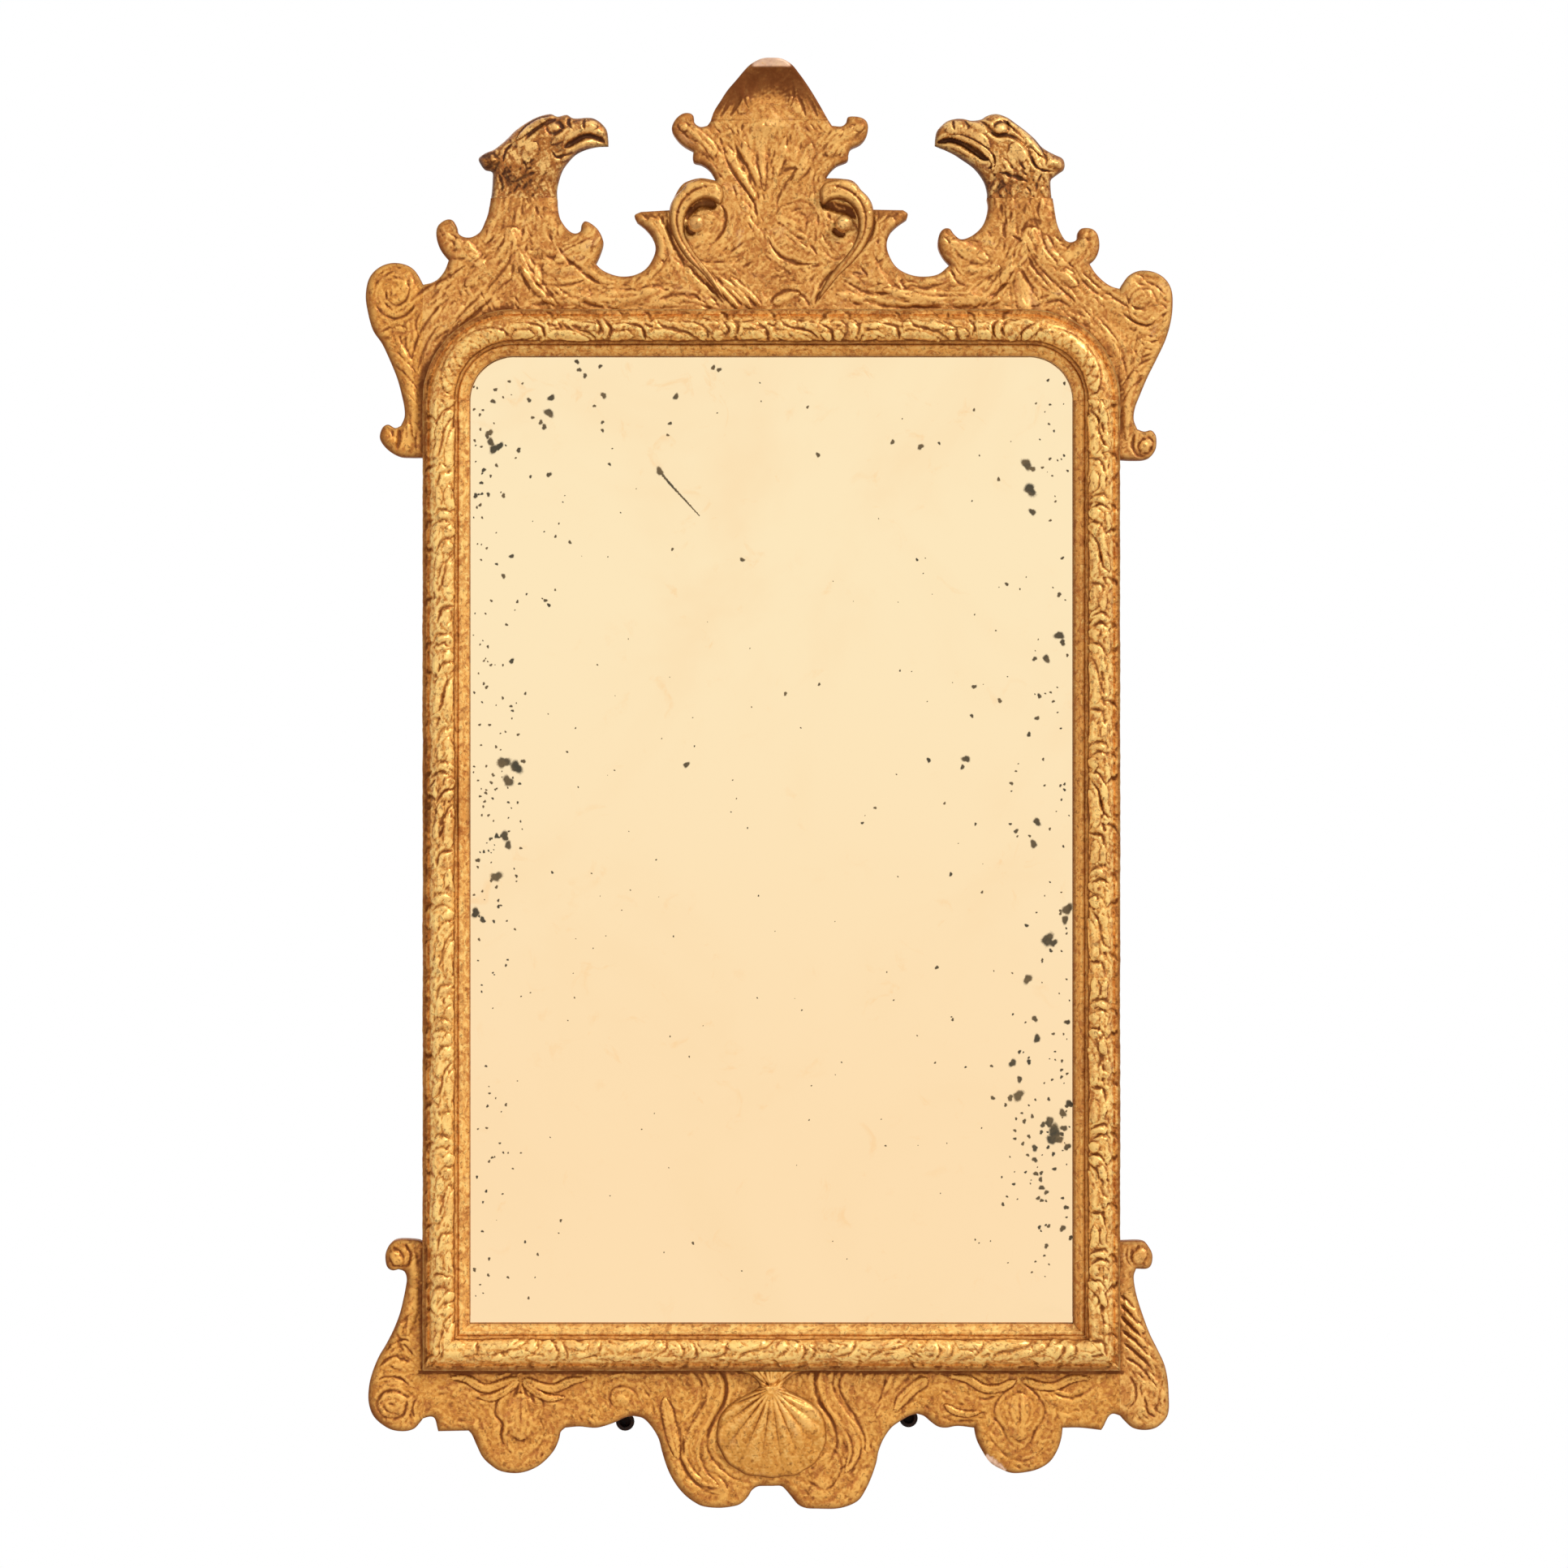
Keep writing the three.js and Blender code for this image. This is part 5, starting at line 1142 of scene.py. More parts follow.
apron = {
    "spacing": 1.12,
    "strength": 0.5,
    "top": 119.2, "halfWidth": 298.98,
    "edgeRadius": 2.2, "edgeDrop": 1.8,
    "left": stretchesOf("""
        curve 0,20 5,20 12,19.5 17,16 20,11 26,5 33,2.5 45,1.2 58,2.4 66,6 74,12 81,20 87,30 91,40 94,50
            97,61 103,71 110,78 118,80
        curve 118,80 125,79 136,74 150,70 165,71 177,70
        curve 177,70 181,66 183,58 187,50 194,42 202,36 212,32 222,31 233,33 241,38 248,45 253,55 257,64
            260,67.5
        curve 260,67.5 286,67
        curve 286,67 287,71 289,78 293,79.5 298.98,78
    """),
    "right": stretchesOf("""
        curve 0,20 8,20 12,17 17,11 23,4 30,1 40,0.5 55,0.5 66,3 75,8 81,17 86,28 90,40 92,50 96,60 102,69
            108,74 118,80 125,82
        curve 125,82 131,80 137,75 143,71 150,70 160,71.5 174,70
        curve 174,70 176,60 181,50 188,40 198,34 208,31 222,32.5 232,36 240,42 246,52 249,62 250,70
        curve 250,70 265,70 283,68
        curve 283,68 285,71 289,79 293,82 298.98,80.5
    """),
    # left drop and its palmette
    "leftDrop": strokesOf("""
        mound 15 2.4 0.3 0.3 -215,100 -215,60
        ledge 6 1.8 0.2 0.3 -215,112 -226,104 -234,94 -236,82 -230,74 -231,62 -226,52 -216,46
        line 1.6 1.7 0.3 0.2 -216,112 -227,103 -235,92 -235,80 -230,74 -231,62 -225,51 -219,47
        ledge 6 1.6 0.3 0.2 -213,44 -201,54 -196,66 -199,78 -196,86 -200,98 -211,110
        line 1.5 1.3 0.3 0.3 -211,110 -201,99 -197,88 -200,78 -197,66 -203,54
        line 1.3 1.3 0.3 0.4 -215,108 -215,92 -215,76 -215,60
        line 1.3 1.2 0.2 0.4 -216,108 -221,94 -223,80
        line 1.3 1.2 0.2 0.4 -214,108 -209,94 -207,80
        leaf 3.4 1.9 0.1 0.3 -217,112 -230,108 -246,104 -262,112 -276,113
        leaf 3.4 1.9 0.1 0.3 -213,112 -200,106 -186,104 -172,110 -158,112
        leaf 3.0 1.7 0.1 0.3 -217,110 -228,102 -240,96 -252,97
        leaf 3.0 1.7 0.1 0.3 -213,110 -204,102 -192,96 -178,96
        line 1.6 1.5 -198,102 -188,98 -176,97
        line 1.6 1.5 -238,98 -250,95 -258,98
    """),
    # right drop
    "rightDrop": strokesOf("""
        mound 15 2.2 0.3 0.3 213,100 213,60
        line 1.5 1.6 0.3 0.2 213,110 202,102 193,92 192,80 198,70 204,58 214,50
        line 1.5 1.6 0.3 0.2 213,110 224,102 233,92 234,80 228,70 222,58 214,50
        line 1.3 1.2 0.3 0.4 213,106 213,92 213,76
        line 1.2 1.1 0.3 0.4 206,96 204,84 208,72
        line 1.2 1.1 0.3 0.4 220,96 222,84 218,72
        line 1.3 1.1 0.3 0.3 186,66 192,56 202,46 214,42 226,46 236,56
        leaf 3.2 1.8 0.1 0.3 216,111 230,106 244,106 258,112 274,113
        leaf 3.2 1.8 0.1 0.3 210,111 196,104 182,104 168,112 152,114
        line 1.7 1.6 232,104 244,99 256,96 268,100 280,108
        line 1.4 1.4 196,98 184,95 172,97
        bead 2.4 1.6 148,90 158,84 168,82 180,84
        line 1.4 1.3 146,80 156,76 168,76 180,76
    """),
    # scrolls between the drops and the lobes
    "besideDrops": strokesOf("""
        line 1.5 1.4 -112,92 -118,102 -128,106 -137,102 -138,92 -132,86
        mound 6 1.6 0 0 -128,96 -126,94
        line 1.4 1.2 0.2 0.2 -148,84 -144,80 -138,78
        ledge 7 1.8 0.2 0.3 104,118 98,106 94,94 86,84
        line 1.5 1.5 102,104 96,96 91,86 88,78
        line 1.5 1.4 122,118 112,108 104,98
        leaf 4.5 1.6 0.1 0.3 134,112 122,104 112,94 106,84
    """),
    # straps beside the shell
    "besideShell": strokesOf("""
        strap 7 2.6 0 0.2 -52,119 -47,106 -49,92 -57,78 -66,62 -68,44 -60,28 -46,20
        line 1.8 2.0 0 0.2 -42,118 -38,106 -41,92 -49,78 -54,64 -54,50 -46,38 -34,28 -22,24
        line 1.6 1.6 0 0.4 -66,118 -60,108 -60,94 -68,78
        line 1.5 1.5 -84,76 -82,58 -78,42 -68,26 -56,16 -42,12
        line 1.3 1.2 0.3 0.3 -76,66 -74,48 -66,34 -56,24
        leaf 5 1.8 -92,96 -88,78 -84,60 -80,44
        line 1.3 1.2 -56,34 -46,30 -38,20 -36,10
        mound 8 1.6 0 0 -46,20 -42,12
        strap 6.5 2.4 0 0.3 48,119 46,106 51,92 61,78 69,64 71,48 64,32
        line 1.8 2.0 0 0.3 38,118 37,106 42,92 51,78 56,64 55,52 50,42 40,34
        line 1.6 1.8 0 0.3 62,118 58,106 64,92 74,76 80,62 80,48
        line 1.5 1.7 0.2 0.2 56,76 66,64 70,52 66,40 58,34
        line 1.3 1.4 66,78 74,64 76,50 72,38
        line 1.4 1.4 50,54 58,46 60,34 54,22
        line 1.4 1.3 30,26 42,18 52,20 56,30
        mound 9 1.8 0 0 44,22 40,14
        mound 6 1.4 0 0 80,30 70,14
    """),
    "chip": {"x": 191, "z": 38, "halfWidth": 12, "halfHeight": 5, "tilt": -0.75},
}


def makeApron():
    a = apron
    side, top = a["halfWidth"], a["top"]
    over = [joint(a["right"][-1][-1], (side, top)), joint((side, top), (-side, top)),
            joint((-side, top), (-side, a["left"][-1][-1][1]))]
    relief = Relief(boardStretches(a["left"], a["right"], over), a["spacing"])
    for part in ("leftDrop", "rightDrop", "besideDrops", "besideShell"):
        carveAll(relief, a[part], (1,), a["strength"])
    comb(relief, 1100, 55, 0.4, 13)
    handWork(relief, 51)
    roundRim(relief, a["edgeRadius"], a["edgeDrop"])
    c = a["chip"]
    along = (relief.x - c["x"]) * math.cos(c["tilt"]) + (relief.z - c["z"]) * math.sin(c["tilt"])
    across = (relief.z - c["z"]) * math.cos(c["tilt"]) - (relief.x - c["x"]) * math.sin(c["tilt"])
    ragged = 0.3 * wobble(relief.x, relief.z, 5, 57)
    chip = smoothstep((along / c["halfWidth"]) ** 2 + (across / c["halfHeight"]) ** 2 + ragged, 1.2, 0.7)
    relief.h -= 0.5 * chip
    carvedBoard("apronCarving", relief, boardFront, boardBack, gilt["deepGilt"], ["apron_board"], chip)


makeApron()


moulding = {
    # distances in from the outer edge, and forward from the back
    "half": jointLine, "head": 1029.5, "tailLeft": 71, "tailRight": 44,
    "gap": 0.1, "step": 1.2, "sunk": 1.6,
    "before": numbersOf("0,0 0,8 0,16 0,23.3 0.4,24.4 1.5,25 2.6,25 3.6,25.2 4.4,25.9"),
    "torus": {"middle": 17.2, "half": 12.0, "base": 25, "rise": 12, "samples": 29},
    "quirk": [(29.1, 23.4), (30.2, 23.2)],
    "bead": {"middle": 32.6, "half": 2.1, "base": 23.6, "rise": 1.3, "samples": 7},
    "after": [(35.2, 22.9), (36.2, 21.6), (37.4, 20.4), (38.6, 19.6), (40, 19), (40, 16), (30, 16),
              (30, 8), (30, 0), (15, 0)],
    "period": 108, "firstDart": -3,
    # one repeat of the leaves: run along from the dart, and distance in
    "motif": strokesOf("""
        petal 4.8 2.0 0.15 0.5 6,24 16,23.5 28,25 40,28
        petal 3.8 1.8 0.2 0.2 48,20 52,24 54,28
        petal 4.6 1.9 0.2 0.2 61,20 64,24 66,28
        petal 3.0 1.8 0.2 0.2 73,12 78,17 79,22 76,27
        petal 4.6 1.9 0.3 0.3 84,27 92,23 103,24
        petal 3.4 1.5 0.3 0.3 9,13 17,10.5 26,11.5
        petal 3.6 1.5 0.3 0.3 32,12 39,15 46,16
        petal 3.4 1.4 0.3 0.3 48,11 56,10 64,12
        petal 3.4 1.5 0.3 0.3 84,14 92,15 100,13
        petal 4.4 0.9 0.3 0.3 -12,6 -3,4.5 5,6
        petal 4.4 0.9 0.3 0.3 14,5 26,4 40,7
        petal 4.2 0.9 0.3 0.3 52,5 60,4 69,5
        petal 4.4 0.9 0.3 0.3 78,6 86,4.5 94,6
        line 1.6 1.0 0.3 0.3 1,1 7,6 8,14
        line 1.6 1.0 0.3 0.3 54,2 49,6 45,13
        line 1.6 1.0 0.3 0.3 67,2 73,5 73,11
        line 1.9 2.2 0.2 0.2 -12,12 -5,13 1,16 3,22 4,28
        line 1.5 1.8 0.2 0.2 12,7 17,14 26,18 38,21 47,28
        line 2.0 2.0 0.3 0.3 24,15 29,16 34,18
        line 1.6 1.9 0.3 0.3 67,7 71,12 73,18 70,26
        line 1.6 1.8 0.3 0.3 77,8 82,13 82,20 79,27
        line 1.4 1.4 0.3 0.2 44,10 52,15 57,20 58,28
        line 1.8 1.6 0.2 0.2 2,12 7,14 11,16
    """),
}


def mouldingSection():
    m = moulding
    arcs = []
    for name in ("torus", "bead"):
        a = m[name]
        turn = np.linspace(math.pi, 0, a["samples"])
        arcs.append([(a["middle"] + a["half"] * math.cos(t), a["base"] + a["rise"] * math.sin(t))
                     for t in turn])
    loop = np.array(m["before"] + arcs[0] + m["quirk"] + arcs[1] + m["after"], float)
    way = np.roll(loop, -1, 0) - np.roll(loop, 1, 0)
    normal = np.column_stack([-way[:, 1], way[:, 0]])
    normal /= np.linalg.norm(normal, axis=1)[:, None]
    first = len(m["before"]) - 1
    carved = np.zeros(len(loop))
    carved[first:first + len(arcs[0])] = 1
    carved[first - 3:first] = (0.5, 0.8, 1)
    carved[first + len(arcs[0]) - 1] = 0.4
    return loop, normal, carved


class Strip:
    # the unrolled face of a length of moulding: x runs along it and z runs in from its outer edge
    def __init__(self, along, inward):
        self.x, self.z = along, inward
        self.h = np.zeros(len(along))
        self.near = np.full(len(along), 1e3)


def leafRun(strip, first, last, dart, seed, strength=1.0):
    rng = np.random.default_rng(seed)
    period = moulding["period"]
    k = math.floor((first - dart) / period) - 1
    while dart + k * period < last + 20:
        start = dart + k * period + rng.uniform(-3, 3)
        stretch = rng.uniform(0.94, 1.05)
        for kind, width, depth, points, *taper in moulding["motif"]:
            shift, lean = rng.uniform(-1.8, 1.8), rng.uniform(-1.0, 1.0)
            wear = rng.uniform(0.55, 1.1) * strength
            drawnHere = [(start + t * stretch + shift, u + lean) for t, u in points]
            xs = [x for x, u in drawnHere]
            if min(xs) < last and max(xs) > first:
                carve(strip, kind, width * rng.uniform(0.85, 1.15), depth * wear, drawnHere, *taper)
        k += 1
    nicks(strip, first, last, seed + 9, int((last - first) * 0.22))


def nicks(strip, first, last, seed, count):
    # short slanting cuts left by a small gouge
    rng = np.random.default_rng(seed)
    for _ in range(count):
        t, u = rng.uniform(first, last), rng.uniform(8, 28)
        reach, lean = rng.uniform(2, 5), rng.uniform(-3.5, 3.5)
        carve(strip, "line", rng.uniform(1.0, 1.5), rng.uniform(0.4, 1.0),
              [(t - reach, u - lean), (t, u + rng.uniform(-1, 1)), (t + reach, u + lean)], 0.4, 0.4)


def cornerLeaf(strip, length):
    # a broad worn leaf with slanting veins that turns with the corner
    m = length / 2
    carve(strip, "mound", 9, 1.4, [(m * 0.15, 22), (m, 18), (m * 1.85, 22)], 0.1, 0.1)
    for side in (-1, 1):
        carve(strip, "line", 1.4, 0.5, [(m, 9), (m + side * m * 0.35, 10), (m + side * m * 0.7, 15),
                                        (m + side * m * 0.95, 26)], 0.1, 0.3)
        for k in range(4):
            at = m + side * m * (0.1 + 0.2 * k)
            carve(strip, "line", 1.3, 0.7, [(at, 12 + k), (at + side * 7, 20), (at + side * 10, 28)],
                  0.3, 0.3)
            carve(strip, "line", 1.3, 0.5, [(at + side * 8, 12), (at + side * 3, 20), (at - side * 2, 28)],
                  0.3, 0.3)


def mouldingPiece(name, node, place, steps, seed, pattern, paintedShadeShift, outerShade=0.0, lipShade=0.0, sightShade=0.3, stain=0.0):
    # the last five arguments: painted shade over the whole length (below 0 a painted highlight), painted
    # shade on its outer edge, painted shade on the inner slope by the glass, painted shade on the face
    # beside the glass, and a stain on one patch
    loop, normal, carved = mouldingSection()
    around = len(loop)
    share = np.repeat(np.arange(steps + 1) / steps, around)
    u, d = np.tile(loop[:, 0], steps + 1), np.tile(loop[:, 1], steps + 1)
    nu, nd = np.tile(normal[:, 0], steps + 1), np.tile(normal[:, 1], steps + 1)
    amount = np.tile(carved, steps + 1)
    run = place(u, share)[2]
    strip = Strip(run, u)
    pattern(strip)
    handWork(strip, seed, 0.18, 0.3)
    hand = 0.1 * wobble(run, u, 9, seed + 5) + 0.15 * wobble(run, u, 60, seed + 6)
    front = (d > 18) & (u < 39.5)
    h = np.where(front, hand, 0) + amount * (np.minimum(strip.h, 1.35) - moulding["sunk"])
    x, z, run = place(u + nu * h, share)
    verts = np.column_stack([x * mm, frameBack - (d + nd * h) * mm, foot + z * mm])
    faces = []
    for r in range(steps):
        for i in range(around):
            j = (i + 1) % around
            a, b = r * around, (r + 1) * around
            faces.append((a + i, a + j, b + j, b + i))
    faces.append(tuple(range(around - 1, -1, -1)))
    faces.append(tuple(steps * around + i for i in range(around)))
    middle = verts.mean(0)
    volume = sum(np.dot(verts[f[0]] - middle, np.cross(verts[f[1]] - middle, verts[f[2]] - middle))
                 + np.dot(verts[f[0]] - middle, np.cross(verts[f[2]] - middle, verts[f[3]] - middle))
                 for f in faces[:around * 40])
    if volume < 0:
        faces = [tuple(reversed(f)) for f in faces]
    piece = newPiece(name, verts, faces, gilt["mouldingGilt"], [node])
    links = linksOf(np.array(faces[:-2]))
    shade = hollowOf(h * (amount > 0), links, 4, 20, 1.2)
    shade += paintedShadeShift + outerShade * np.clip((8 - u) / 5, 0, 1) + stain * np.exp(-((run - 605) / 34) ** 2)
    # painted shade in the crease beside the bead and down the slope to the glass
    quirk = np.exp(-((u - 29.8) / 1.0) ** 2) * (d > 20) + 0.45 * np.clip((u - 37) / 3, 0, 1) * (d > 18)
    quirk += lipShade * (u > 31) * (d > 18)
    # painted shade on the outer side and the outer strip, wider where the outer edge is shaded, and on the
    # face beside the glass
    outer = np.clip((25 - d) / 3, 0, 1) * (u < 1) + np.clip(2 + 6 * outerShade - u, 0, 1)
    outer = outer + sightShade * np.clip((u - 37.8) / 1.0, 0, 1) * (d > 15)
    plain = (d < 0.1) | ((u > 0.5) & ((d < 15.9) | (u * (d < 17) > 29)))
    paint(piece, hollow=np.clip(shade + 0.6 * quirk, 0, 1), edge=0.8 * np.minimum(outer, 1),
          bare=np.where(plain, 1.0, 0.0), chip=np.zeros(len(u)))
    print(name, "made with", len(faces), "faces")


def makeMouldings():
    m = moulding
    step = m["step"]
    top, bottom = cornerZ - m["gap"], railFoot
    lift = m["gap"] * math.sqrt(2)
    for side, name in ((-1, "left"), (1, "right")):
        def stile(u, t, s=side):
            low = bottom + u + lift
            z = low + (top - low) * t
            return s * (m["half"] - u), z, z

        def stilePattern(strip, s=side):
            leafRun(strip, bottom, top, 136 + 9 * s, 71 + s, 0.92 + 0.1 * s)
        # painted light and shade: both stiles lighter along their length, the left more, with shade on the
        # left stile's outer edge and on the right stile's slope and face by the glass
        mouldingPiece("stileMoulding." + name, "stile_" + name, stile, int((top - bottom) / step),
                      60 + side, stilePattern,
                      -0.085 + 0.045 * side, 0.2 - 0.12 * side, 0.2 + 0.12 * side, 0.6 + 0.6 * side,
                      0.16 - 0.1 * side)
        tail = m["tailLeft"] if side < 0 else m["tailRight"]
        quarter = (m["half"] - cornerX - m["torus"]["middle"]) * math.pi / 2

        def corner(u, t, s=side, tail=tail, quarter=quarter):
            run = t * (quarter + tail)
            angle = np.minimum(run / quarter, 1) * math.pi / 2
            radius = m["half"] - cornerX - u
            x = cornerX + radius * np.cos(angle) - np.maximum(run - quarter, 0)
            return s * x, cornerZ + radius * np.sin(angle), run

        def cornerPattern(strip, quarter=quarter, tail=tail, s=side):
            cornerLeaf(strip, quarter)
            leafRun(strip, quarter + 4, quarter + tail, 30 + 20 * s, 83 + s)
        # painted shade on the outer edge, more on the left corner, and on the slope by the glass
        mouldingPiece("cornerMoulding." + name, "corner_block_" + name, corner,
                      int((quarter + tail) / step) + 16, 64 + side, cornerPattern, 0.0,
                      0.1 - 0.08 * side, 0.1)
    reach = cornerX
    left, right = -reach + m["tailLeft"] + m["gap"], reach - m["tailRight"] - m["gap"]

    def topRail(u, t):
        x = left + (right - left) * t
        return x, m["head"] - u, x
    # painted shade darkens the top rail along its whole length
    mouldingPiece("topMoulding", "top_rail", topRail, int((right - left) / step), 91,
                  lambda strip: leafRun(strip, left, right, m["firstDart"], 92, 0.85), 0.08)

    def bottomRail(u, t):
        x = (m["half"] - u) * (2 * t - 1)
        return x, railFoot + u, x
    # painted highlight lightens the bottom rail along its length, and painted shade darkens its outer edge
    # underneath
    mouldingPiece("bottomMoulding", "bottom_rail", bottomRail, int(2 * m["half"] / step), 95,
                  lambda strip: leafRun(strip, -m["half"], m["half"], -40, 96, 0.72), -0.12, 0.24)


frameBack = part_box("top_rail")[1].y
makeMouldings()


seat = boardFront - glueLine      # where the applied carvings are glued on


def makePlume():
    p = plume

    def above(points):
        kept = [q for q in points if q[1] > p["foot"]]
        a = [q for q in points if q[1] <= p["foot"]][0]
        b = kept[-1]
        share = (p["foot"] - b[1]) / (a[1] - b[1])
        return kept + [(b[0] + (a[0] - b[0]) * share, p["foot"])]
    right = above(crest["right"][0])
    left = above([(-x, z) for x, z in crest["left"][0]])
    relief = Relief([list(reversed(left))[:-1] + right, joint(right[-1], left[-1])], p["spacing"])
    carveAll(relief, p["strokes"])
    handWork(relief, 101, 0.15, 0.3)
    q = np.clip(1 - relief.edge / 2.6, 0, 1)
    detail = relief.h * smoothstep(relief.edge, 0, 4) * smoothstep(relief.z, 1192, 1198)
    form = plumeForm(relief.x, relief.z) + 0.06
    relief.h = np.maximum(form + detail - 2.0 * (1 - np.sqrt(np.clip(1 - q * q, 0, 1))), 0.15)
    rim = smoothstep(relief.z, 1236.0, 1237.5) * smoothstep(np.abs(relief.x), 18, 14)
    shade = (hollowOf(detail, relief.links) + plumeShade(relief.x, relief.z)) * (1 - 0.6 * rim)
    carvedBoard("plumeHood", relief, seat, seat, gilt["carvedGilt"], ["plume_hood"], 0.75 * rim,
                shade=shade)


makePlume()


scroll = {
    "spacing": 0.9, "radius": 6.5,
    "outer": numbersOf("""
        40,1036.5 57,1057.5 73,1073.5 83,1089.5 87.5,1103.5 87,1117.5 83,1126 77,1132 72,1138 62,1141.2
            53,1140 46,1138 41.5,1132 41,1126
    """),
    "inner": numbersOf("""
        41,1126 44,1119.5 51,1123 60,1123.5 68,1119 73,1111 74.5,1102 73,1091 66,1078 56,1066 47,1054
            42,1044 40,1036.5
    """),
    "strokes": strokesOf("""
        line 1.4 1.5 0.1 0.2 46,1135 57,1134.5 68,1130 77,1121 81,1108 79,1094 72,1081 61,1066 51,1053
            43,1041
        mound 2.6 1.2 0.2 0.2 44,1123 55,1127 65,1123.5 73,1115 77,1103
        line 1.1 0.8 0.3 0.2 54,1130 60,1140
        line 1.1 0.8 0.3 0.2 69,1126 77,1131
        line 1.1 0.7 0.3 0.2 77,1112 86,1114
    """),
}


def makeScroll(side, name):
    s = scroll
    relief = Relief(onSide([s["outer"], s["inner"]], side), s["spacing"])
    carveAll(relief, s["strokes"], (side,))
    handWork(relief, 110 + side, 0.12, 0.2)
    base = 3.2 + 5.2 * smoothstep(relief.z, 1082, 1126)
    q = np.clip(1 - relief.edge / s["radius"], 0, 1)
    body = base * np.sqrt(np.clip(1 - q ** 2.3, 0, 1)) + 0.4
    relief.h = np.minimum(body + relief.h * smoothstep(relief.edge, 0, 3), 8.9)
    carvedBoard("acanthusScroll." + name, relief, seat, seat, gilt["carvedGilt"],
                ["acanthus_scroll_" + name], None, 2.4)


makeScroll(-1, "left")
makeScroll(1, "right")


beads = {"radius": 7.4, "left": (-64.5, 1103), "right": (62, 1102.5), "height": 11.5}


def makeBead(name):
    b = beads
    x, z = b[name]
    bpy.ops.object.select_all(action="DESELECT")
    bpy.ops.mesh.primitive_uv_sphere_add(segments=48, ring_count=32, radius=b["radius"] * mm)
    ball = bpy.context.object
    mesh = ball.data
    flat = np.zeros(len(mesh.vertices) * 3)
    mesh.vertices.foreach_get("co", flat)
    points = flat.reshape(-1, 3) / mm
    uneven = 1 + 0.02 * wobble(points[:, 0] + points[:, 1], points[:, 2], 6, 120 + len(name))
    points *= uneven[:, None]
    y = seat / mm - b["height"] + b["radius"] + points[:, 1]
    points = np.column_stack([(points[:, 0] + x) * mm, np.minimum(y * mm, seat),
                              foot + (points[:, 2] + z) * mm])
    mesh.vertices.foreach_set("co", points.ravel())
    mesh.update()
    ball.name = "scrollBead." + name
    mesh.materials.append(gilt["eagleGilt"])
    bpy.ops.object.shade_smooth()
    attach(ball, "frame")
    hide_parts("scroll_bead_" + name)
    # painted shade on the back of the bead, where it meets the board
    low = smoothstep(points[:, 1], seat - 6 * mm, seat - 2 * mm)
    count = len(points)
    paint(ball, hollow=0.28 + 0.5 * low, edge=np.zeros(count), bare=np.zeros(count), chip=np.zeros(count))


makeBead("left")
makeBead("right")


shell = {
    "spacing": 0.85, "hinge": 104.5, "ribs": 11, "rise": 10.6,
    # painted highlight at the upper right and painted shade at the lower left, laid in with tones
    "spots": [(19, 93, 13, -0.5), (32, 84, 10, -0.35), (3, 114, 7, -0.4), (-28, 60, 14, 0.14),
              (-20, 92, 9, 0.15), (-8, 104, 6, 0.3), (12, 46, 12, 0.08)],
    "fan": numbersOf("""
        10,106 17,101 27,96 38,88.5 44.5,79 47.2,68 46.5,58 43,48 36.5,39.5 27,32.5 15,28.6 0,27.6
    """),
    "neck": numbersOf("27,119.2 19,115.5 12.5,110.5 10,106"),
}


def scalloped(points, ribs):
    # lets the rim swing out at each rib
    hingeZ = shell["hinge"]
    curve = drawn(points, 0.8)
    out = []
    for x, z in curve:
        angle = math.atan2(x, hingeZ - z)
        wave = math.cos(angle / 1.45 * ribs * math.pi)
        reach = math.hypot(x, hingeZ - z)
        grow = 1 + 0.006 * wave * smoothstep(reach, 20, 45)
        out.append((x * grow, hingeZ - (hingeZ - z) * grow))
    return out


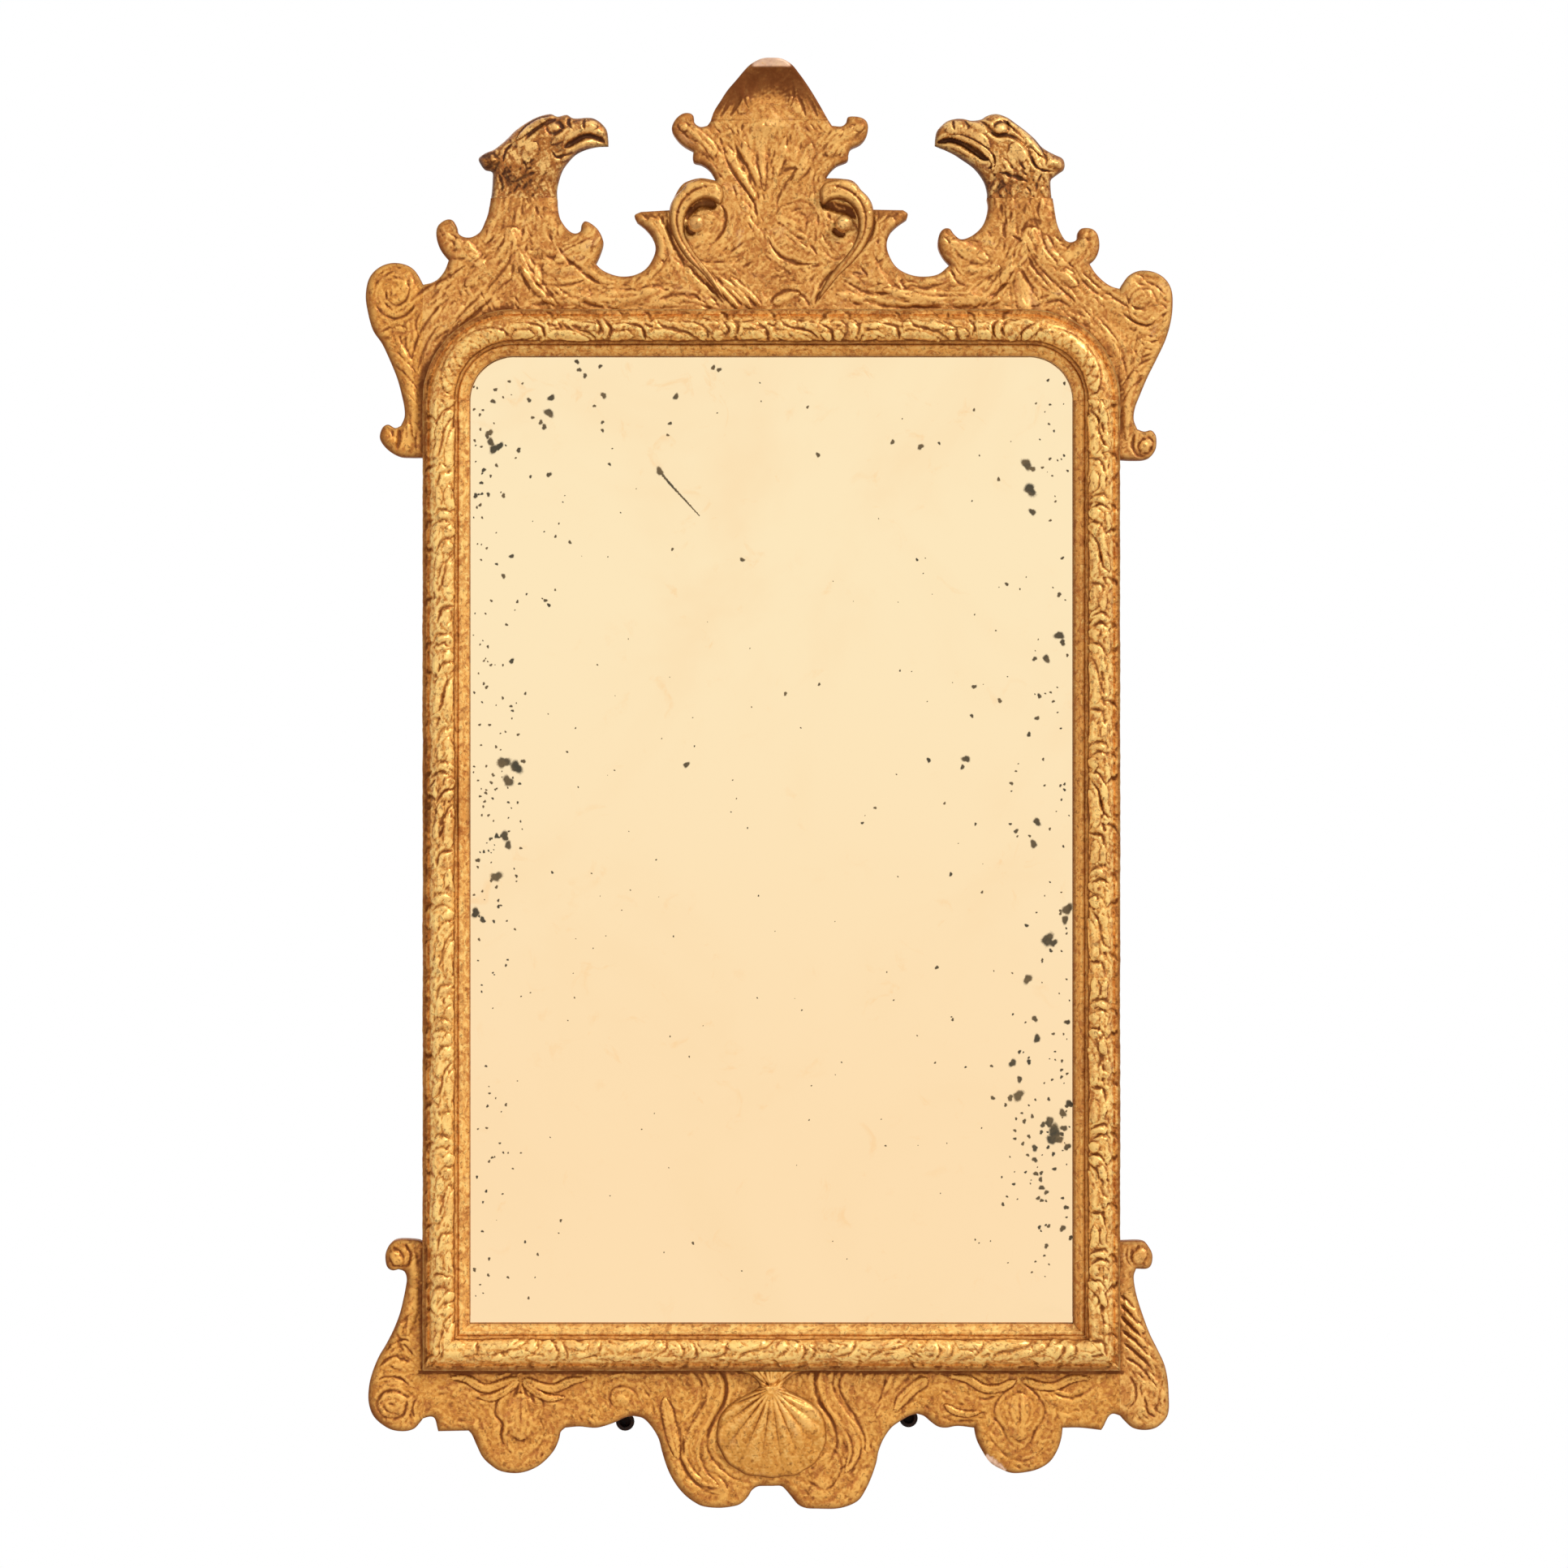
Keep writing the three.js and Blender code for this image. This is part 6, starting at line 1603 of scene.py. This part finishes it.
def makeShell():
    s = shell
    fan = s["fan"] + [(-x, z) for x, z in reversed(s["fan"][:-1])]
    neckLeft = [(-x, z) for x, z in reversed(s["neck"])]
    rim = scalloped(fan, s["ribs"])
    relief = Relief([s["neck"], rim, neckLeft, joint(neckLeft[-1], s["neck"][0])], s["spacing"])
    dx, dz = relief.x, s["hinge"] - relief.z
    angle, reach = np.arctan2(dx, dz), np.hypot(dx, dz)
    far = np.interp(np.abs(angle), [0, 0.45, 0.9, 1.2, 1.45], [77, 72, 58, 48, 30])
    share = np.clip(reach / far, 0, 1)
    rib = np.cos(angle / 1.45 * s["ribs"] * math.pi)
    inFan = smoothstep(relief.z, s["hinge"] + 6, s["hinge"] - 4)
    dome = np.sin(math.pi * (0.30 + 0.60 * share ** 0.9))
    ribs = (rib * 0.8 - 0.5 * np.abs(rib) ** 6 * (rib < 0)) * smoothstep(share, 0.02, 0.35)
    ribs *= 1 - 0.45 * smoothstep(share, 0.55, 0.95)
    body = s["rise"] * dome + ribs * smoothstep(relief.edge, 0, 3)
    neckForm = 7.6 * np.sqrt(np.clip(1 - np.clip(1 - relief.edge / 7, 0, 1) ** 2, 0, 1)) + 0.4
    relief.h = np.zeros(len(relief.x))
    carve(relief, "line", 1.3, 1.6, [(-10, 112), (-3, 108), (4, 109), (10, 114)], 0.2, 0.2)
    carve(relief, "line", 1.2, 1.4, [(-6, 119), (-5, 112), (-2, 106)], 0.1, 0.3)
    carve(relief, "line", 1.2, 1.4, [(7, 119), (6, 112), (3, 106)], 0.1, 0.3)
    handWork(relief, 131, 0.1, 0.25)
    detail = relief.h
    q = np.clip(1 - relief.edge / 4, 0, 1)
    rounding = 3.6 * (1 - np.sqrt(np.clip(1 - q * q, 0, 1)))
    total = neckForm * (1 - inFan) + (body - rounding) * inFan + detail * smoothstep(relief.edge, 0, 2)
    relief.h = np.clip(total, 0.4, 12.0)
    shade = hollowOf(ribs + detail, relief.links, 3, 14, 1.5) + tones(relief.x, relief.z, s["spots"])
    shade += 0.12 * smoothstep(share, 0.7, 1) * inFan
    carvedBoard("scallopShell", relief, seat, seat, gilt["shellGilt"], ["scallop_shell"], None, 1.8, shade)


makeShell()


eagle = {
    "spacing": 0.95, "half": 15,
    "forward": 10.0,       # how far its middle lies in front of the frame's back
    # the head's middle line from the neck to the tip of the beak, on the right
    "spine": numbersOf("""
        213,1125.25 212.5,1138.7 211.8,1150.7 205.5,1162.3 196.8,1171.8 185.5,1179.8 175.5,1182.3
            165.5,1182.3 154.5,1182 145.5,1178.5 140,1171
    """),
    "thick": [0.72, 0.78, 0.9, 1, 1, 0.95, 0.86, 0.74, 0.6, 0.44, 0.26],
    "width": [29, 29, 28, 26, 24, 20, 17, 14, 12, 9, 5],
    "featherless": numbersOf("196,1185 180,1165 165,1180 150,1180 205,1176"),
    "right": stretchesOf("""
        curve 240.8,1125.25 240,1133 240,1141 243,1144 247,1147 251,1150 252,1155 250,1160 244,1163
            238,1166 232,1170 226,1177 218,1184 210,1190 203,1195 195,1198 189,1197.8 184,1196 180,1193.5
            172,1192.5 165,1194 158,1194 151,1192 146,1188 142,1183 140.6,1177 140.2,1170.5
        curve 140.2,1170.5 145,1168.5 150,1166.5 157,1163 163,1159 169,1155 174,1151 179,1145 183,1138
            185,1130 185,1125.25
        joint 185,1125.25 240.8,1125.25
    """),
    "left": stretchesOf("""
        curve 241,1125.25 240,1134 239.6,1142 240,1148 246,1150 250,1155 251.5,1160 246,1164.5 238,1168
            228,1176 220,1184 210,1191 200,1196 190,1198.2 184,1196 176,1197.5 170,1194.5 158,1195 152,1194
            146,1190 141.5,1184 140.2,1176 140,1170
        curve 140,1170 150,1169.5 160,1167 168,1163 174,1157 179,1150 182,1142 184,1133 184,1125.25
        joint 184,1125.25 241,1125.25
    """),
    # patches laid in with tones, partly painted shade and painted highlight
    "rightSpots": numbersOf("""
        213,1165,7,-0.7 206,1156,6,-0.3 199,1136,10,0.35 213,1144,6,0.3 182,1181,6,-0.45 217,1179,8,-0.35
        150,1189,5,-0.4 237,1157,5,-0.2 228,1134,8,0.2 211,1133,4,-0.3 172,1166,7,0.35 188,1178,4,0.2
    """),
    "leftSpots": numbersOf("""
        -196,1176,26,0.1 -243,1157,9,0.6 -214,1140,14,0.42 -228,1145,8,0.3 -208,1171,5,-0.6
        -217,1158,4,-0.5 -196,1153,3.5,-0.6 -214,1173,3,-0.5 -218,1146,3,-0.6 -200,1186,9,0.2
        -176,1190,8,0.3 -160,1188,6,0.3 -180,1165,7,0.3 -226,1174,6,0.2 -215,1128,5,-0.3
    """),
    # drawn for the right head; the left head has its own
    "rightStrokes": strokesOf("""
        mound 6 2.2 150,1183 160,1184 170,1181 180,1175 187,1168
        mound 4.5 1.8 150,1168.5 158,1166 166,1161 175,1155
        line 2.4 4.2 0.15 0.15 141.5,1173 147,1174.5 153,1175 160,1173.5 167,1170 175,1164.5 182,1159
            187,1157.5
        line 1.2 1.3 0.3 0.4 146,1170 155,1168 164,1163 172,1158
        bead 2.2 1.7 0.3 0.3 150,1179 160,1177.5 170,1173.5 180,1167.5 187,1161 190,1155 189,1148
        line 1.5 1.6 0.3 0.3 185,1150 189,1152 191,1158 190,1163
        mound 5 1.6 0 0 152,1187 152.5,1188
        mound 4.5 1.5 0 0 160,1189 161,1189
        line 1.3 1.4 0.3 0.3 156,1193 156,1188 157,1183
        line 1.3 1.3 0.3 0.3 165,1193 169,1188 168,1183
        mound 4 1.6 168,1191 176,1187 185,1180
        line 1.8 2.6 0.15 0.3 178,1192 182,1190 186,1186 189,1181 195,1178 203,1178.5 210,1176 216,1171
            221,1164 225,1155 231,1149.5 243,1148
        bead 3.6 2.4 0.3 0.4 203,1191 212,1185 220,1177 227,1169 234,1160
        line 1.4 1.7 0.3 0.3 197,1193.5 205,1188 213,1180.5 219,1173
        mound 4.8 1.9 0 0 195.5,1184.5 197,1184.8
        line 1.5 1.3 0 0 190,1183 192,1188 197,1190.5 202,1188.5 203.5,1184 201,1180.5 195,1179.5 191,1181
            190,1184
        mound 8 2.4 206,1171 213,1163 216,1156
        mound 5 1.8 0 0 239,1157 246,1155
        line 1.3 1.4 0.3 0.3 232,1165 236,1159 235,1152
        line 1.8 1.8 0.3 0.3 195,1147 204,1145 213,1142 220,1139
        line 1.2 1.0 0.3 0.3 198,1160 204,1155 208,1149
        line 1.2 1.0 0.3 0.3 232,1146 228,1138 227,1130
    """),
    "leftStrokes": strokesOf("""
        mound 6 1.8 150,1186 160,1187 170,1184 180,1178 188,1171
        mound 4.5 1.6 152,1171 162,1170 172,1165 180,1157
        line 2.6 3.6 0.15 0.15 142,1173 148,1176.5 155,1178.5 162,1177.5 170,1173 178,1168
        line 1.3 1.5 0.3 0.3 168,1166 176,1162 184,1160 188,1165
        mound 4.5 1.4 0 0 153,1189 154,1190
        line 1.3 1.3 0.3 0.3 160,1194 161,1188 160,1183
        line 1.3 1.3 0.3 0.3 172,1196 174,1190 171,1184
        mound 3.8 1.2 0 0 185,1185.5 186.5,1185.8
        line 1.5 0.9 0 0 179,1185 182,1190 188,1191 192.5,1187 191,1181.5 185,1180 180,1182.5
        bead 3.0 1.7 0.3 0.4 190,1194 200,1190 210,1183 218,1175
        line 1.6 1.3 0.15 0.3 183,1196 187,1192.5 197,1187 206,1180 213,1172
        mound 7 1.8 202,1172 208,1163 210,1155
        mound 5 1.6 0 0 240,1158 246,1156
        line 1.5 1.5 0.3 0.3 222,1172 228,1165 230,1156
        line 1.4 0.7 0.3 0.3 200,1148 210,1144 220,1139
        line 1.3 1.2 0.3 0.3 234,1146 231,1138 231,1130
    """),
}


def feathers(relief, side, seed, away, strength):
    # short overlapping bumps down the neck and the back of the head
    rng = np.random.default_rng(seed)
    for row in range(9):
        level = 1129 + row * 6.2
        for k in range(6):
            x = 190 + k * 9 + (row % 2) * 4.5 + rng.uniform(-1.5, 1.5)
            z = level + rng.uniform(-1.5, 1.5)
            near = min(math.hypot(x - px, z - pz) for px, pz in away)
            if near < 13 or x > 244:
                continue
            turn = rng.uniform(-2.5, 2.5)
            carve(relief, "mound", rng.uniform(2.2, 3.6), strength * rng.uniform(0.3, 1.1),
                  [(side * x, z + 3), (side * (x + turn), z - 1)], 0, 0)
            carve(relief, "line", 1.2, strength * rng.uniform(0.2, 0.9),
                  [(side * (x - 3), z + turn), (side * (x + turn), z - 4)], 0.3, 0.3)


def makeEagle(name, side):
    e = eagle
    relief = Relief(onSide(e[name], side), e["spacing"])
    feathers(relief, side, 140 + side, e["featherless"], 0.8 + 0.2 * side)
    carveAll(relief, e[name + "Strokes"], (side,))
    handWork(relief, 144 + side, 0.15, 0.25)
    spine = [(side * x, z) for x, z in e["spine"]]
    idx, _, share, _, _ = alongStroke(relief, spine, 80)
    run = np.zeros(len(relief.x))
    run[idx] = share
    cuts = np.linalg.norm(np.diff(np.array(e["spine"]), axis=0), axis=1)
    marks = np.concatenate([[0], np.cumsum(cuts)]) / cuts.sum()
    thick = np.interp(run, marks, e["thick"]) * e["half"]
    reach = np.interp(run, marks, e["width"])
    thick, reach = spread(thick, relief.links, 12), spread(reach, relief.links, 12)
    q = np.clip(1 - relief.edge / (reach * 0.85), 0, 1)
    body = thick * np.sqrt(np.clip(1 - q ** 2.2, 0, 1))
    detail = relief.h * smoothstep(relief.edge, 0, 3.5)
    half = np.minimum(np.maximum(body + detail - 0.8, 0), e["half"] - 0.05)
    half[np.array(relief.rim)] = np.where(relief.edge[relief.rim] < 1e-6, 0, half[relief.rim])
    middle = frameBack - e["forward"] * mm
    count = len(half)
    front = inPlace(relief.points, middle - half * mm)
    back = inPlace(relief.points, middle + half * mm)
    other = np.arange(count) + count
    rim = np.array(relief.rim)
    shut = rim[half[rim] < 1e-6]
    other[shut] = shut
    faces = relief.faces.tolist()
    faces += [tuple(other[i] for i in reversed(face)) for face in relief.faces.tolist()]
    for k in range(len(rim)):
        a, b = rim[k], rim[(k + 1) % len(rim)]
        ring = [a, other[a], other[b], b]
        ring = [v for i, v in enumerate(ring) if v not in ring[:i]]
        if len(ring) > 2:
            faces.append(tuple(ring))
    verts = np.vstack([front, back])
    used = np.unique([v for face in faces for v in face])
    where = {old: new for new, old in enumerate(used)}
    faces = [tuple(where[v] for v in face) for face in faces]
    piece = newPiece("eagleHead." + name, verts[used], faces, gilt["eagleGilt"],
                     ["eagle_head_" + name])
    shade = hollowOf(detail, relief.links)
    shade = np.clip(shade + tones(relief.x, relief.z, e[name + "Spots"]), 0, 1)
    zeros = np.zeros(len(used))
    # painted shade along the outline, wider and darker on edges turned from the light
    dark = np.clip(1.1 - relief.edge / (2.4 + 2.6 * relief.shadowed), 0, 1) * (0.7 + 0.3 * relief.shadowed)
    paint(piece, hollow=np.concatenate([shade, shade])[used], edge=np.concatenate([dark, dark])[used],
          bare=zeros, chip=zeros)
    print("eagleHead", name, "made with", len(faces), "faces")


makeEagle("right", 1)
makeEagle("left", -1)


glass = {
    "halfWidth": 268.7, "foot": 149.8, "cornerRadius": 47.7,
    "bevel": 29, "thickness": 4, "grind": 1.6,
    # dark blots where the silvering has gone: x, z and radius
    "blots": numbersOf("""
        -167,985,1.7 -165,978,1.7 -160,973,1.7 -144,956,2.2 -82,955,2.2 -191,941,3.3 -198,933,1.7
        -241,916,2.8 -244,921,1.7 -234,911,1.7 -96,891,2.8 -87,932,1.4 -89,922,1.1 -223,818,1.7
        -230,801,1.7 -194,780,1.4 -191,776,1.4 -223,728,1.9 -230,641,4.5 -219,637,4.5 -226,625,3.9
        -213,642,1.7 -229,578,3.3 -236,578,1.7 -226,570,2.8 -236,543,3.9 -252,557,1.7 -254,512,3.3
        -248,506,2.2 -251,489,1.1 -73,639,2.2 167,644,2.8 164,637,1.7 135,643,1.7 219,897,3.9 224,893,2.2
        222,875,4.5 224,856,2.5 247,785,1.7 247,750,3.3 250,744,2.2 236,730,2.8 226,730,1.7 196,694,1.7
        174,706,1.7 172,681,1.4 230,698,1.7 228,679,1.7 221,665,1.7 12,700,1.4 41,708,1.1 228,590,2.8
        210,582,1.7 225,571,2.8 254,515,3.9 252,506,2.8 237,489,4.5 242,486,2.8 220,455,3.3 226,421,2.2
        228,404,2.8 207,383,2.8 213,369,2.2 212,355,3.9 205,353,2.2 243,324,5 238,331,2.8 247,317,2.8
        256,348,2.8 236,272,1.7 232,265,1.4 236,226,1.7 257,233,1.7 104,916,1.7 128,912,2.2 144,915,1.1
        40,905,1.7 -25,815,1.7 154,545,1.4 142,465,1.4 -50,980,1.7 -45,978,1.7 202,794,1.4 125,815,1.1
        31,946,1.1 206,623,1.4 219,501,1.4 89,602,1.1 78,589,1.1 -85,824,1.1 195,884,1.4 -237,961,1.4
        -225,968,1.2 -239,951,1.8 -208,952,1.7 -205,937,1.3 -189,954,2.5 -195,929,2.0 -242,924,2.5
        -238,910,3.4 -233,913,2.5 -217,909,1.8 -191,888,1.9 -254,870,1.8 -243,871,1.5 -230,870,1.6
        -249,881,1.4 -247,892,1.6 -236,896,1.3 -250,862,1.3 -145,933,1.3 -145,926,1.3 -147,981,1.5
        -152,947,1.2 -139,897,1.2 -173,830,1.3 254,418,2.0 242,408,1.2 221,384,1.8 249,377,1.2 249,371,1.2
        238,352,1.3 190,353,1.6 201,347,1.3 250,340,2.8 239,333,3.2 233,330,2.0 251,327,2.4 241,317,3.8
        254,311,2.5 249,322,1.8 217,333,1.6 215,340,1.0 226,310,2.3 221,320,1.4 226,300,2.0 220,304,1.2
        227,288,1.8 231,283,1.7 232,276,2.0 243,292,1.5 229,267,1.5 250,267,1.2 253,259,1.8 208,279,1.2
        250,241,2.3 230,242,1.4 238,243,1.4 209,325,1.2 209,318,1.2
    """),
    "streak": numbersOf("-96,891 -86,879 -74,866 -62,853"),
    "speckSeed": 160, "sideSpecks": 250, "rightDrift": 30, "leftDrift": 50, "looseSpecks": 110,
}


def glassOutline():
    g = glass
    arc = [(cornerX + g["cornerRadius"] * math.cos(t), cornerZ + g["cornerRadius"] * math.sin(t))
           for t in np.linspace(0, math.pi / 2, 40)]
    mirror = [(-x, z) for x, z in reversed(arc)]
    w, f = g["halfWidth"], g["foot"]
    points = [(-w, f), (w, f)] + arc + mirror + [(-w, f)]
    return evenChain(np.array(points, float), 3.5)[:-1]


def allBlots():
    g = glass
    rng = np.random.default_rng(g["speckSeed"])
    blots = list(g["blots"])
    streak = evenChain(np.array(g["streak"], float), 1.0)
    for k, (x, z) in enumerate(streak):
        blots.append((x + rng.uniform(-0.2, 0.2), z, 1.0 - 0.5 * k / len(streak)))
    # small specks lie mostly near both sides, in two drifts and, smallest, anywhere
    for _ in range(g["sideSpecks"]):
        side = rng.choice((-1, 1))
        x = side * (256 - rng.exponential(22))
        blots.append((x, rng.uniform(180, 975), rng.uniform(0.5, 1.15)))
    for _ in range(g["rightDrift"]):
        blots.append((rng.uniform(195, 256), rng.normal(330, 55), rng.uniform(0.5, 1.5)))
    for _ in range(g["leftDrift"]):
        blots.append((rng.uniform(-252, -215), rng.normal(600, 60), rng.uniform(0.5, 1.3)))
    for _ in range(g["looseSpecks"]):
        blots.append((rng.uniform(-240, 240), rng.uniform(200, 970), rng.uniform(0.3, 0.7)))
    return [b for b in blots if abs(b[0]) < 258 and 165 < b[1] < 988]


def makeGlass():
    g = glass
    outline = glassOutline()
    blots = np.array(allBlots())
    rng = np.random.default_rng(g["speckSeed"] + 1)
    phases = rng.uniform(0, tau, (len(blots), 3))
    inset = []
    closed = np.vstack([outline, outline[:1]])
    for k in range(len(outline)):
        a, b = outline[k - 1], outline[(k + 1) % len(outline)]
        way = (b - a) / np.linalg.norm(b - a)
        inset.append(outline[k] + np.array([-way[1], way[0]]) * g["bevel"])
    inset = np.array(inset)
    fromEdge = distanceTo(inset, closed)
    inset = inset[fromEdge > g["bevel"] - 0.6]
    rings = [outline, inset]
    for x, z, r in blots:
        count = 9 if r < 1 else 18
        turn = np.arange(count) * tau / count
        for grow in ((0, 0.7, 1.3, 2.1) if r < 1 else (0, 0.45, 0.8, 1.1, 1.5, 2.1)):
            if grow == 0:
                rings.append(np.array([[x, z]]))
            else:
                rings.append(np.column_stack([x + r * grow * np.cos(turn), z + r * grow * np.sin(turn)]))
    rings.append(fillOutline(outline, 22))
    points = np.vstack(rings)
    points[len(outline):] += rng.uniform(-0.01, 0.01, (len(points) - len(outline), 2))
    inside = np.ones(len(points), bool)
    inside[len(outline):] = distanceTo(points[len(outline):], closed) > 0.8
    inside &= (np.abs(points[:, 0]) < g["halfWidth"] + 0.01) & (points[:, 1] > g["foot"] - 0.01)
    points = points[inside]
    count = len(outline)
    result = delaunay_2d_cdt([Vector(p) for p in points], [], [list(range(count))], 1, 1e-6)
    flat = np.array([tuple(v) for v in result[0]])
    faces = result[2]
    where = {old: new for new, olds in enumerate(result[3]) for old in olds}
    rim = [where[k] for k in range(count)]
    gone = np.zeros(len(flat))
    for (x, z, r), (p1, p2, p3) in zip(blots, phases):
        idx = np.where((np.abs(flat[:, 0] - x) < 2.2 * r) & (np.abs(flat[:, 1] - z) < 2.2 * r))[0]
        dx, dz = flat[idx, 0] - x, flat[idx, 1] - z
        turn = np.arctan2(dz, dx)
        ragged = 1 + 0.2 * np.sin(2 * turn + p1) + 0.12 * np.sin(3 * turn + p2)
        ragged += 0.06 * np.sin(5 * turn + p3)
        value = np.clip(1.5 - np.hypot(dx, dz) / (r * ragged), 0, 1)
        gone[idx] = np.maximum(gone[idx], value)
    edge = distanceTo(flat, evenChain(closed, 0.8))
    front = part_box("mirror_glass")[0].y
    back = front + g["thickness"] * mm
    slope = np.clip(1 - edge / g["bevel"], 0, 1) * g["grind"]
    top = inPlace(flat, front + slope * mm)
    under = inPlace(flat[rim], back)
    n = len(flat)
    faces = [tuple(f) for f in faces]
    for k in range(count):
        j = (k + 1) % count
        faces.append((rim[k], n + k, n + j, rim[j]))
    faces.append(tuple(n + k for k in reversed(range(count))))
    piece = newPiece("mirrorPlate", np.vstack([top, under]), faces, glassMaterial(),
                     ["mirror_glass"])
    piece.data.shade_flat()
    paint(piece, foxing=np.concatenate([gone, np.zeros(count)]))
    print("mirrorPlate made with", len(faces), "faces and", len(blots), "blots")


def mirrorReflectionAndStains():
    group, start, end = newGroup("mirrorReflectionAndStains", [
        ("Vector", "NodeSocketVector", (0, 0, 0)), ("Foxing", "NodeSocketFloat", 0.0),
    ], [("Color", "NodeSocketColor"), ("Gone", "NodeSocketFloat")])
    w = Wires(group)
    i = start.outputs
    broad = w.noise(i["Vector"], 5, 4, 0.6, 0.6)
    fine = w.noise(i["Vector"], 34, 5, 0.65, 0.8)
    ragged = w.noise(i["Vector"], 700, 3, 0.6)
    split = w.nodes.new("ShaderNodeSeparateXYZ")
    w.links.new(i["Vector"], split.inputs[0])
    low = w.ramp(split.outputs["Z"], foot + 0.85, foot + 0.25)
    # painted reflection: the silvering's cream colour, pinker towards the bottom, stands in for a
    # reflected cream wall
    colour = w.mix(low, rgb(253, 231, 188), rgb(253, 222, 176))
    colour = w.mix(w.math("MULTIPLY", w.ramp(broad, 0.4, 0.75), 0.5), colour, rgb(250, 218, 170))
    patch = w.math("MULTIPLY", w.ramp(fine, 0.57, 0.72), w.ramp(broad, 0.40, 0.58))
    colour = w.mix(w.math("MULTIPLY", patch, 0.45), colour, rgb(250, 204, 146))
    uneven = w.math("ADD", i["Foxing"], w.math("MULTIPLY", w.math("SUBTRACT", ragged, 0.5), 0.32))
    gone = w.math("MULTIPLY", w.ramp(uneven, 0.08, 0.68), w.ramp(i["Foxing"], 0.02, 0.2))
    dark = w.mix(w.ramp(fine, 0.35, 0.65), rgb(66, 60, 44), rgb(112, 92, 62))
    w.links.new(w.mix(gone, colour, dark), end.inputs["Color"])
    w.links.new(gone, end.inputs["Gone"])
    return group


def glassMaterial():
    material, w, bsdf = newMaterial("oldMirror")
    effect = w.use(mirrorReflectionAndStains(), Vector=w.place(), Foxing=w.attribute("foxing"))
    w.links.new(effect.outputs["Color"], bsdf.inputs["Base Color"])
    gone = effect.outputs["Gone"]
    w.links.new(w.ramp(gone, 0, 1, 1.0, 0.1), bsdf.inputs["Metallic"])
    w.links.new(w.ramp(gone, 0, 1, 0.05, 0.5), bsdf.inputs["Roughness"])
    return material


makeGlass()


def finishLeftovers():
    finishes = {"wood": pine, "brass": agedBrass, "iron": blackIron}
    kinds = {"backboard": "wood", "glazing_block": "wood", "crest_batten": "wood", "apron_batten": "wood",
             "neck_batten": "wood", "hanger_strap": "brass", "hanging_ring": "brass",
             "candle_socket": "iron"}
    for name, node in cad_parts.items():
        if node.hide_render or "screw" not in name and not any(name.startswith(k) for k in kinds):
            continue
        kind = "iron" if "screw" in name else [kinds[k] for k in kinds if name.startswith(k)][0]
        for k in range(len(node.data.materials)):
            node.data.materials[k] = finishes[kind]


finishLeftovers()
print("leftovers finished")
